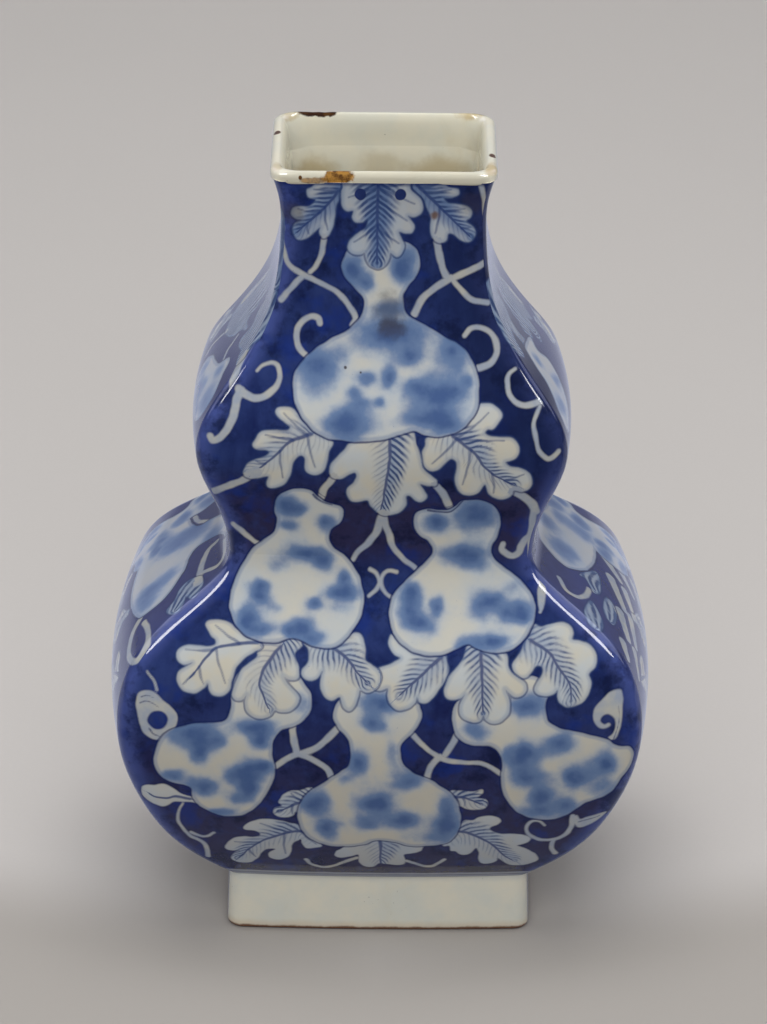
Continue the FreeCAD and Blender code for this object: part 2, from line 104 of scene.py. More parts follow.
def ring(part, z, inner=False):
    """The bowed rounded rectangle at height z: front circle, side circle, corner circle and the mitre angle."""
    a, b, sf, ss, r = dims(part, z, inner)
    rf, rs = (a * a + sf * sf) / (2 * sf), (b * b + ss * ss) / (2 * ss)
    yf, xs = -(b + sf) + rf, (a + ss) - rs
    d = np.hypot(xs, yf)
    ex, ey = xs / d, -yf / d
    r1, r2 = rf - r, rs - r
    q = (r1 ** 2 - r2 ** 2 + d ** 2) / (2 * d)
    w = np.sqrt(np.maximum(r1 ** 2 - q ** 2, 0))
    px, py = ex * q, yf + ey * q
    cands = [(px + w * ey, py - w * ex), (px - w * ey, py + w * ex)]
    pick = (cands[0][0] - cands[0][1]) > (cands[1][0] - cands[1][1])
    cx, cy = np.where(pick, cands[0][0], cands[1][0]), np.where(pick, cands[0][1], cands[1][1])
    t1 = np.arctan2(cx, -(cy - yf))
    t2 = np.arctan2(cx - xs, -cy)
    lo, hi = t1.copy(), t2.copy()
    for _ in range(40):
        mid = (lo + hi) / 2
        g = cy - r * np.cos(mid) + 32.31 + MITRE * (cx + r * np.sin(mid) - 40)
        lo, hi = np.where(g < 0, mid, lo), np.where(g < 0, hi, mid)
    tm = (lo + hi) / 2
    return dict(rf=rf, rs=rs, yf=yf, xs=xs, cx=cx, cy=cy, r=r, t1=t1, t2=t2, tm=tm,
                U=rf * t1 + r * (tm - t1), V=rs * (math.pi / 2 - t2) + r * (t2 - tm))


def rows(part, step, face="front"):
    """Heights spaced evenly along the profile, and that profile length."""
    z = np.linspace(BULB[part][0][0], BULB[part][-1][0], 4001)
    k = ring(part, z)
    out = -(k["yf"] - k["rf"]) if face == "front" else k["xs"] + k["rs"]
    s = np.concatenate([[0], np.cumsum(np.hypot(np.diff(z), np.diff(out)))])
    n = max(2, int(round(s[-1] / step)) + 1)
    sv = np.linspace(0, s[-1], n)
    return np.interp(sv, s, z), sv


def length_table(part, face):
    z = np.linspace(BULB[part][0][0], BULB[part][-1][0], 2001)
    k = ring(part, z)
    out = -(k["yf"] - k["rf"]) if face == "front" else k["xs"] + k["rs"]
    return z, np.concatenate([[0], np.cumsum(np.hypot(np.diff(z), np.diff(out)))])


def panel(part, face, z, n, inner=False):
    """A grid of points, normals and panel coordinates (u across, s up) for one face of the vase."""
    k = ring(part, z, inner)
    e = 0.02
    za, zb = (np.maximum(z - e, 0.0), z + e) if part == "foot" else (z - e, z + e)
    ka, kb = ring(part, za, inner), ring(part, zb, inner)
    dz = {q: (kb[q] - ka[q]) / (zb - za) for q in ("rf", "rs", "yf", "xs", "cx", "cy", "r")}
    front = face in ("front", "back")
    total = (k["U"] if front else k["V"])[:, None]
    h = np.linspace(-1, 1, n)[None, :]
    u = total * h
    m = np.abs(u)
    K = {q: v[:, None] for q, v in k.items()}
    D = {q: v[:, None] for q, v in dz.items()}
    if front:
        flat = K["rf"] * K["t1"]
        on = m <= flat
        th = np.where(on, m / K["rf"], K["t1"] + (m - flat) / K["r"])
        x = np.where(on, K["rf"] * np.sin(th), K["cx"] + K["r"] * np.sin(th))
        y = np.where(on, K["yf"] - K["rf"] * np.cos(th), K["cy"] - K["r"] * np.cos(th))
        v = np.where(on, -D["yf"] * np.cos(th) + D["rf"],
                     D["cx"] * np.sin(th) - D["cy"] * np.cos(th) + D["r"])
        nx, ny = np.sin(th), -np.cos(th)
        sg = np.where(h < 0, -1.0, 1.0)
        x, nx = x * sg, nx * sg
        if face == "back":
            x, y, nx, ny = -x, -y, -nx, -ny
    else:
        flat = K["rs"] * (math.pi / 2 - K["t2"])
        on = m <= flat
        th = np.where(on, math.pi / 2 - m / K["rs"], K["t2"] - (m - flat) / K["r"])
        x = np.where(on, K["xs"] + K["rs"] * np.sin(th), K["cx"] + K["r"] * np.sin(th))
        y = np.where(on, -K["rs"] * np.cos(th), K["cy"] - K["r"] * np.cos(th))
        v = np.where(on, D["xs"] * np.sin(th) + D["rs"],
                     D["cx"] * np.sin(th) - D["cy"] * np.cos(th) + D["r"])
        nx, ny = np.sin(th), -np.cos(th)
        sg = np.where(h < 0, 1.0, -1.0)  # u runs from the front arris (-) to the back arris (+)
        y, ny = y * sg, ny * sg
        if face == "left":
            x, y, nx, ny = -x, -y, -nx, -ny  # half a turn: u then runs from the back arris to the front one
    zz = np.broadcast_to(z[:, None], x.shape)
    pts = np.stack([x, y, zz], -1)
    nrm = np.stack([nx, ny, -v], -1)
    nrm = nrm / np.linalg.norm(nrm, axis=-1, keepdims=True)
    if inner:
        nrm = -nrm
    if part == "foot":
        s = np.broadcast_to(z[:, None], x.shape)
    else:
        zt, st = length_table(part, "front" if front else "side")
        s = np.broadcast_to(np.interp(z, zt, st)[:, None], x.shape)
    return pts, nrm, u + 0 * x, s, total - m


# ---------------------------------------------------------------- the drawing on the wide faces
# panel millimetres: across from the middle, up along the face from the foot
LEAVES = {
    "CL": (6, 2, [(-10.07, 199.48), (-10.55, 196.37), (-10.3, 194.17), (-9.06, 192.71), (-7.57, 192.86), (-7.81, 191.27), (-6.82, 189.96), (-5.09, 189.98), (-3.85, 190.79), (-4.33, 188.42), (-6.31, 187.1), (-8.28, 185.25), (-8.76, 183.17), (-7.51, 181.63), (-5.53, 181.66), (-4.54, 182.19), (-4.28, 180.38), (-3.03, 178.59), (-1.29, 177.96), (0.44, 178.62), (1.42, 180.43), (1.91, 181.99), (3.15, 180.96), (4.39, 181.75), (5.11, 183.56), (4.6, 185.64), (3.84, 187.45), (5.33, 187.2), (7.06, 187.34), (7.66, 189.04), (6.78, 190.61), (6.03, 191.66), (7.51, 191.27), (8.99, 191.94), (9.84, 193.81), (9.19, 196), (7.94, 197.68), (6.7, 198.8), (6.44, 199.66), (5.93, 201.37), (-1.46, 201.88), (-9.33, 201.2)],
        [(-1.45, 201.02), (-1.5, 190.55), (-1.55, 179.63)]),
    "LL": (3, 1, [(-10.07, 199.48), (-10.8, 196.64), (-11.78, 193.88), (-12.26, 189.89), (-13.24, 186.74), (-14.97, 185.67), (-15.96, 187.22), (-15.72, 188.52), (-17.45, 186.93), (-19.43, 185.34), (-21.41, 185.3), (-22.41, 187.1), (-22.16, 188.93), (-20.43, 190.27), (-21.67, 190.51), (-22.91, 191.8), (-22.41, 193.41), (-20.43, 193.99), (-18.21, 194.04), (-16.72, 195.71), (-18.7, 196.5), (-18.95, 198.46), (-17.71, 199.34), (-15.74, 201.09), (-9.82, 201.2)],
        [(-9.33, 200.35), (-15.24, 193.02), (-21.42, 187.12)]),
    "RL": (3, -1, [(6.94, 199.66), (8.43, 197.96), (9.93, 196), (10.95, 193.28), (11.72, 190.89), (11.51, 188.01), (12.53, 185.41), (14.27, 184.63), (15.75, 185.41), (15.98, 186.97), (17.22, 186.97), (18.47, 185.93), (19.97, 184.89), (21.7, 185.14), (22.79, 186.96), (22.15, 188.79), (20.39, 190.36), (21.37, 191.15), (21.84, 193.01), (20.58, 194.36), (17.85, 194.91), (15.87, 195.19), (14.86, 196.57), (16.84, 196.57), (18.56, 197.41), (18.28, 199.1), (15.81, 199.68), (13.81, 201.39), (7.41, 201.37)],
        [(8.16, 200.24), (15.16, 192.75), (21.19, 186.44)]),
    "LA": (3, 1, [(-18.89, 138.71), (-20.77, 140.9), (-22.41, 142.73), (-24.16, 142.93), (-25.9, 142.51), (-26.39, 141.5), (-25.63, 140.02), (-24.12, 138.95), (-22.87, 137.86), (-23.61, 136.97), (-26.35, 136.94), (-29.1, 136.81), (-30.72, 136.01), (-31.59, 134.47), (-32.21, 133.04), (-31.33, 132.04), (-28.83, 131.87), (-28.08, 131.1), (-29.33, 130.13), (-31.84, 129.09), (-33.6, 127.77), (-34.49, 125.87), (-34.12, 124.41), (-32.62, 123.72), (-30.36, 123.97), (-28.35, 124.5), (-28.74, 122.81), (-28.38, 121.27), (-26.87, 121.02), (-24.36, 122.36), (-22.84, 124.99), (-22.09, 128.59), (-21.09, 130.12), (-19.97, 130.68), (-19.09, 129.63), (-19.09, 127.13), (-18.34, 125.86), (-16.59, 125.32), (-14.6, 126.39), (-13.6, 129.08), (-12.99, 132.03), (-12.13, 134.35), (-14.88, 135.81), (-17.13, 137.01)],
        [(-17.37, 136.25), (-22.1, 134.63), (-25.58, 131.58), (-29.47, 127.65), (-32.86, 125.65)]),
    "CA": (4, -1, [(-7.41, 134.43), (-9.14, 132.61), (-10.62, 131.02), (-12.61, 128.55), (-12.97, 126.28), (-12.1, 124.54), (-10.1, 124.28), (-8.11, 125.5), (-6.74, 126.25), (-6.23, 124.94), (-7.1, 123.12), (-8.47, 121.24), (-8.59, 119.01), (-7.58, 117.42), (-5.58, 117.13), (-3.58, 117.65), (-2.57, 115.88), (-1.05, 113.96), (0.71, 112.86), (2.71, 113.19), (4.72, 114.01), (6.2, 116.28), (6.3, 118.86), (7.17, 119.19), (8.44, 117.74), (10.07, 117.26), (11.43, 119.03), (10.65, 121.25), (9.63, 122.96), (11.64, 122.34), (13.51, 122.34), (13.87, 123.87), (12.35, 125.51), (10.96, 126.82), (9.81, 129.47), (9.41, 132.25), (8.52, 134.3), (7.74, 137.31), (4.51, 137.79), (1.03, 137.77), (-1.7, 136)],
        [(1.77, 137.53), (2.06, 133.51), (1.85, 127.92), (0.9, 121.37), (-0.05, 114.62)]),
    "RA": (3, -1, [(11.49, 135.81), (10.76, 133.54), (9.79, 131.21), (9.94, 129.06), (11.08, 127.39), (12.83, 126.67), (14.57, 127.52), (15.8, 129.04), (17.15, 130.17), (18.54, 129.43), (18.81, 127.35), (18.23, 124.74), (18.77, 121.99), (20.18, 119.93), (22.45, 119.32), (24.31, 120.19), (25.65, 122.52), (26.28, 121.89), (26.95, 119.67), (28.74, 118.12), (30.76, 117.88), (32.62, 119.06), (33.21, 120.64), (35.23, 120.21), (36.98, 120.92), (37.79, 123.48), (36.86, 125.95), (34.7, 127.3), (32.05, 127.86), (30.91, 128.86), (32.03, 129.3), (33.39, 130.03), (34.32, 131.47), (33.96, 133.68), (32.56, 135.35), (29.68, 135.65), (27.18, 135.94), (25.8, 136.71), (26.42, 137.57), (27.66, 137.68), (28.97, 139.03), (29.83, 140.75), (29.25, 142.51), (27.62, 143.83), (25.62, 144.06), (23.87, 143.83), (21.9, 141.23), (18.19, 138.03)],
        [(17.71, 136.04), (20.73, 133.49), (23.5, 131.26), (25.29, 128.26), (27.84, 125.79), (32.66, 122.69)]),
    "LB1": (4, 1, [(-30.98, 77.85), (-33.52, 78.79), (-36.08, 80.65), (-37.63, 82.04), (-40.18, 82.86), (-42.71, 82.8), (-43.96, 81.89), (-43.67, 80.32), (-42.63, 78.68), (-41.47, 77.7), (-41.7, 76.4), (-43.34, 75.82), (-45.87, 75.96), (-48.41, 76.02), (-50.43, 75.11), (-51.29, 73.55), (-50.88, 71.82), (-49.35, 71.02), (-47.33, 71.61), (-48.84, 70.67), (-50.6, 69.33), (-51.1, 67.3), (-50.46, 65.3), (-48.8, 64.1), (-46.27, 64.01), (-44.25, 65.33), (-43.37, 66.51), (-42.98, 65), (-41.84, 63.64), (-39.81, 63.39), (-38.17, 64.56), (-37.18, 67.15), (-36.44, 70.07), (-35.45, 71.73), (-33.7, 73.43), (-31.2, 75.16), (-29.7, 76.23)],
        [(-30.73, 77.47), (-36.02, 76.77), (-40.81, 75.81), (-43.3, 73.68), (-46.05, 69.79), (-47.8, 67.71)]),
    "LB2": (3, -1, [(-29.71, 77.25), (-30.95, 75.17), (-30.93, 73.9), (-32.42, 72.34), (-34.68, 70.38), (-35.92, 67.7), (-36.91, 65.38), (-37.04, 63.71), (-36.02, 62.45), (-34.51, 62.77), (-33.5, 64.1), (-33.88, 62.4), (-33.62, 60.32), (-32.1, 58.52), (-29.71, 57.94), (-27.44, 58.81), (-26.31, 60.31), (-25.04, 59.82), (-22.53, 60.15), (-20.77, 61.77), (-20.2, 63.86), (-21.79, 65.74), (-23.44, 67.47), (-24.33, 69.21), (-23.07, 68.36), (-21.18, 68.16), (-20.19, 69.44), (-20.33, 71.44), (-21.1, 73.18), (-21.37, 74.94), (-20.13, 76.25), (-19.39, 77.55), (-20.91, 78.68), (-22.68, 79.02), (-24.17, 77.81)],
        [(-24.92, 76.63), (-27.4, 73.51), (-29.63, 69.68), (-30.11, 66.13), (-28.83, 62.84), (-28.07, 60.78)]),
    "LB3": (4, 2, [(-19.39, 77.55), (-17.98, 75.92), (-17.95, 73.01), (-19.57, 70.83), (-19.43, 68.96), (-17.66, 67.99), (-15.65, 68.66), (-14.41, 70.45), (-14.9, 68.3), (-14.76, 66.03), (-13.74, 64), (-11.97, 63.18), (-10.22, 63.93), (-9.59, 63.04), (-8.95, 61.23), (-7.43, 60.47), (-6.06, 61.8), (-5.32, 64.14), (-4.96, 65.93), (-2.94, 65.32), (-0.57, 66.61), (0.29, 68.89), (-0.48, 71.02), (-2.12, 72.39), (-3.64, 73.5), (-3.66, 76.3), (-4.24, 78.87), (-5.21, 80.3), (-6.84, 80.41), (-8.47, 79.33), (-9.96, 77.62), (-11.83, 76.56), (-14.6, 76.51), (-17.12, 76.96)],
        [(-11.83, 76.43), (-8.36, 73.95), (-5.82, 70.54), (-3.29, 68.05)]),
    "RB1": (3, 2, [(2.71, 80.24), (2.1, 78.41), (2.49, 76.35), (3.76, 74.83), (5.02, 74.07), (3.52, 73.06), (1.52, 72.16), (-0.73, 71.14), (-0.09, 69.52), (-1.46, 67.74), (-1.45, 66.35), (0.06, 65.85), (2.07, 66.38), (1.91, 64.46), (2.73, 62.4), (4.63, 60.85), (7.14, 61.25), (8.88, 62.82), (9.37, 64.23), (10.01, 62.95), (11.9, 62.74), (13.52, 64.23), (14.76, 65.89), (16.12, 67.78), (17.24, 69.54), (17.35, 71.54), (16.71, 73.31), (16.57, 74.7), (15.06, 74.83), (11.8, 74.77), (8.78, 75.48), (6.25, 77.01), (4.1, 79.2)],
        [(15.49, 74.32), (11.32, 70.56), (5.1, 64.74)]),
    "RB2": (4, 2, [(22.09, 77.47), (21.22, 75.55), (20.85, 73.78), (19.36, 71.78), (17.86, 70.04), (16.75, 68.03), (16.14, 66.01), (16.66, 64.09), (18.43, 63.36), (20.43, 63.93), (21.43, 64.82), (20.44, 62.9), (20.17, 60.56), (21, 58.7), (23.15, 57.61), (25.29, 57.85), (26.15, 59.44), (26.8, 58.1), (28.33, 57.13), (30.72, 57.63), (32.33, 59.34), (32.8, 61.83), (32.26, 64.16), (31.49, 66.09), (32.51, 65.06), (34.03, 64), (35.67, 64.23), (36.79, 65.61), (36.52, 67.39), (34.86, 68.81), (33.21, 70.1), (32.32, 71.74), (32.18, 73.63), (31.17, 75.42), (29.4, 75.32), (26.38, 75.75), (23.86, 76.67)],
        [(25.37, 75.51), (25.67, 68.46), (26.02, 60.23)]),
    "RB3": (3, 2, [(38.5, 82.53), (40.52, 81.68), (42.3, 82.16), (44.08, 82.77), (46.23, 82.76), (48.26, 81.57), (48.75, 79.85), (48.37, 78.31), (50.4, 77.86), (52.42, 77.01), (53.94, 75.43), (54.7, 73.26), (54.2, 71.03), (52.69, 69.46), (53.21, 67.55), (53.11, 65.53), (52, 63.26), (50, 61.51), (47.47, 61.07), (45.43, 62.18), (44.64, 64.01), (44.75, 65.41), (43.87, 64.67), (41.99, 64.08), (39.83, 64.52), (39, 66.2), (39.92, 68.07), (40.91, 70.18), (40.65, 71.56), (39.26, 71.6), (38.26, 70.24), (37.13, 69.01), (35.24, 68.85), (33.72, 70.09), (33.27, 71.97), (34.33, 73.84), (35.58, 75.71), (36.59, 78.12), (37.73, 80.18)],
        [(37.73, 78.36), (42.28, 75.25), (44.82, 71.4), (47.9, 66.72), (48.2, 62.87)]),
    "LT": (1, 0, [(-60.45, 35.8), (-59.05, 36.98), (-56.99, 37.17), (-55.01, 37.54), (-53.4, 37.02), (-51.81, 35.87), (-50.52, 34.68), (-48.59, 33.93), (-47.05, 33.82), (-46.04, 33.34), (-46.07, 31.61), (-47.09, 31.72), (-48.63, 31.79), (-51.2, 31.78), (-52.54, 31.51), (-53.54, 30.52), (-55.18, 29.83), (-56.81, 30.27), (-58.44, 31.18), (-59.82, 32.23), (-60.62, 33.67)],
        [(-48.1, 32.86), (-51.86, 33.43), (-54.13, 32.79), (-56.75, 32.93), (-58.68, 34.09)]),
    "LBL": (1, 1, [(-34.66, 23.45), (-33.15, 25.42), (-30.85, 26.72), (-27.63, 26.95), (-25.03, 26.52), (-22.76, 25.7), (-20.59, 25.41), (-18.53, 23.99), (-14.47, 17.27), (-16.14, 16.08), (-18.4, 15.62), (-19.34, 17.24), (-20.09, 19.1), (-21.38, 18.41), (-22.17, 16.48), (-22.59, 12.95), (-23.77, 10.59), (-26.03, 9.62), (-28.16, 10.61), (-28.28, 12.59), (-27.44, 13.89), (-26.6, 14.85), (-28.74, 14.72), (-30.06, 12.46), (-31.09, 9.67), (-32.78, 7.68), (-35.08, 6.97), (-37.03, 7.68), (-38, 9.77), (-36.93, 12.57), (-35.62, 13.63), (-37.25, 13.5), (-38.87, 13.76), (-39.51, 15.14), (-38.49, 17.5), (-36.81, 19.25), (-34.53, 19.94), (-32.25, 19.83), (-30.59, 20.42), (-30.43, 21.47), (-31.57, 22.39), (-33.83, 22.5)],
        [(-18.54, 22.46), (-21.09, 22.75), (-24.94, 21.2), (-29.33, 18.71), (-32.99, 14.9), (-35.66, 10.1)]),
    "RBL": (1, -1, [(24.08, 27.3), (25.39, 28.43), (28.03, 28.73), (30.37, 28.1), (31.2, 26.66), (30.1, 25.26), (28.43, 24.33), (29.15, 23.09), (31.17, 21.98), (33.84, 21.89), (36.86, 21.54), (38.9, 20.13), (38.58, 18.51), (36.96, 17.5), (35.54, 16.9), (36.85, 16.16), (38.38, 15.02), (40.46, 12.7), (41.22, 9.89), (39.93, 8.1), (37.61, 6.7), (34.57, 6.9), (32.51, 8.56), (30.76, 11.19), (30.46, 9.79), (29.15, 8.38), (27.14, 8.06), (25.76, 9.99), (25.67, 14.01), (25.14, 16.14), (24.32, 14.68), (23.02, 13.11), (21.01, 13.16), (19.64, 14.79), (18.46, 15.14), (18.25, 17.19), (16.53, 17.21), (15.72, 19.77), (19.47, 25.18), (21.24, 26.62), (22.24, 27.44)],
        [(19.76, 23.29), (22.84, 22.46), (26.21, 20.32), (29.62, 16.91), (31.72, 13.15), (34.44, 9.75)]),
    "LCB": (1, -1, [(-11.27, 12.74), (-10.88, 14.66), (-9.75, 15.63), (-8.57, 17.02), (-6.78, 20.44), (10.6, 20.62), (11.11, 15.91), (10.15, 14.51), (8.31, 13.84), (6.44, 13.1), (7.03, 10.84), (6.87, 8.39), (5.33, 7.63), (3.08, 7.96), (1.2, 8.34), (0.04, 8.44), (-1.45, 6.56), (-3.71, 6.93), (-5.06, 9.89), (-5.24, 12.93), (-7.11, 12.17), (-9.76, 11.3)],
        [(0.42, 20.57), (0.53, 14.46), (0.56, 8.16)]),
    "SL": (1, 1, [(-24.33, 35.56), (-22.42, 36.86), (-20.18, 37.16), (-16.96, 38.01), (-14.94, 34.09), (-18.76, 29.82), (-20.39, 29.65), (-21.31, 29.9), (-21.7, 28.54), (-23.62, 27.67), (-25.83, 28.12), (-26.92, 29.39), (-26.4, 30.93), (-24.68, 31.8), (-25.42, 33.05), (-24.85, 34.53)],
        [(-19, 33.63), (-21.81, 32.16), (-25.13, 29.93)]),
    "SR": (1, -1, [(18.11, 37.61), (20.72, 37.58), (23.7, 37.31), (26.13, 37.73), (26.33, 36.51), (25.24, 35.06), (27.1, 34.59), (27.69, 33.05), (26.76, 31.27), (24.55, 30.86), (22.3, 31.35), (20.81, 32.13), (18.6, 32.33), (16.76, 36.07)],
        [(19.31, 35.38), (21.86, 35.02), (25.71, 32.92)]),
}
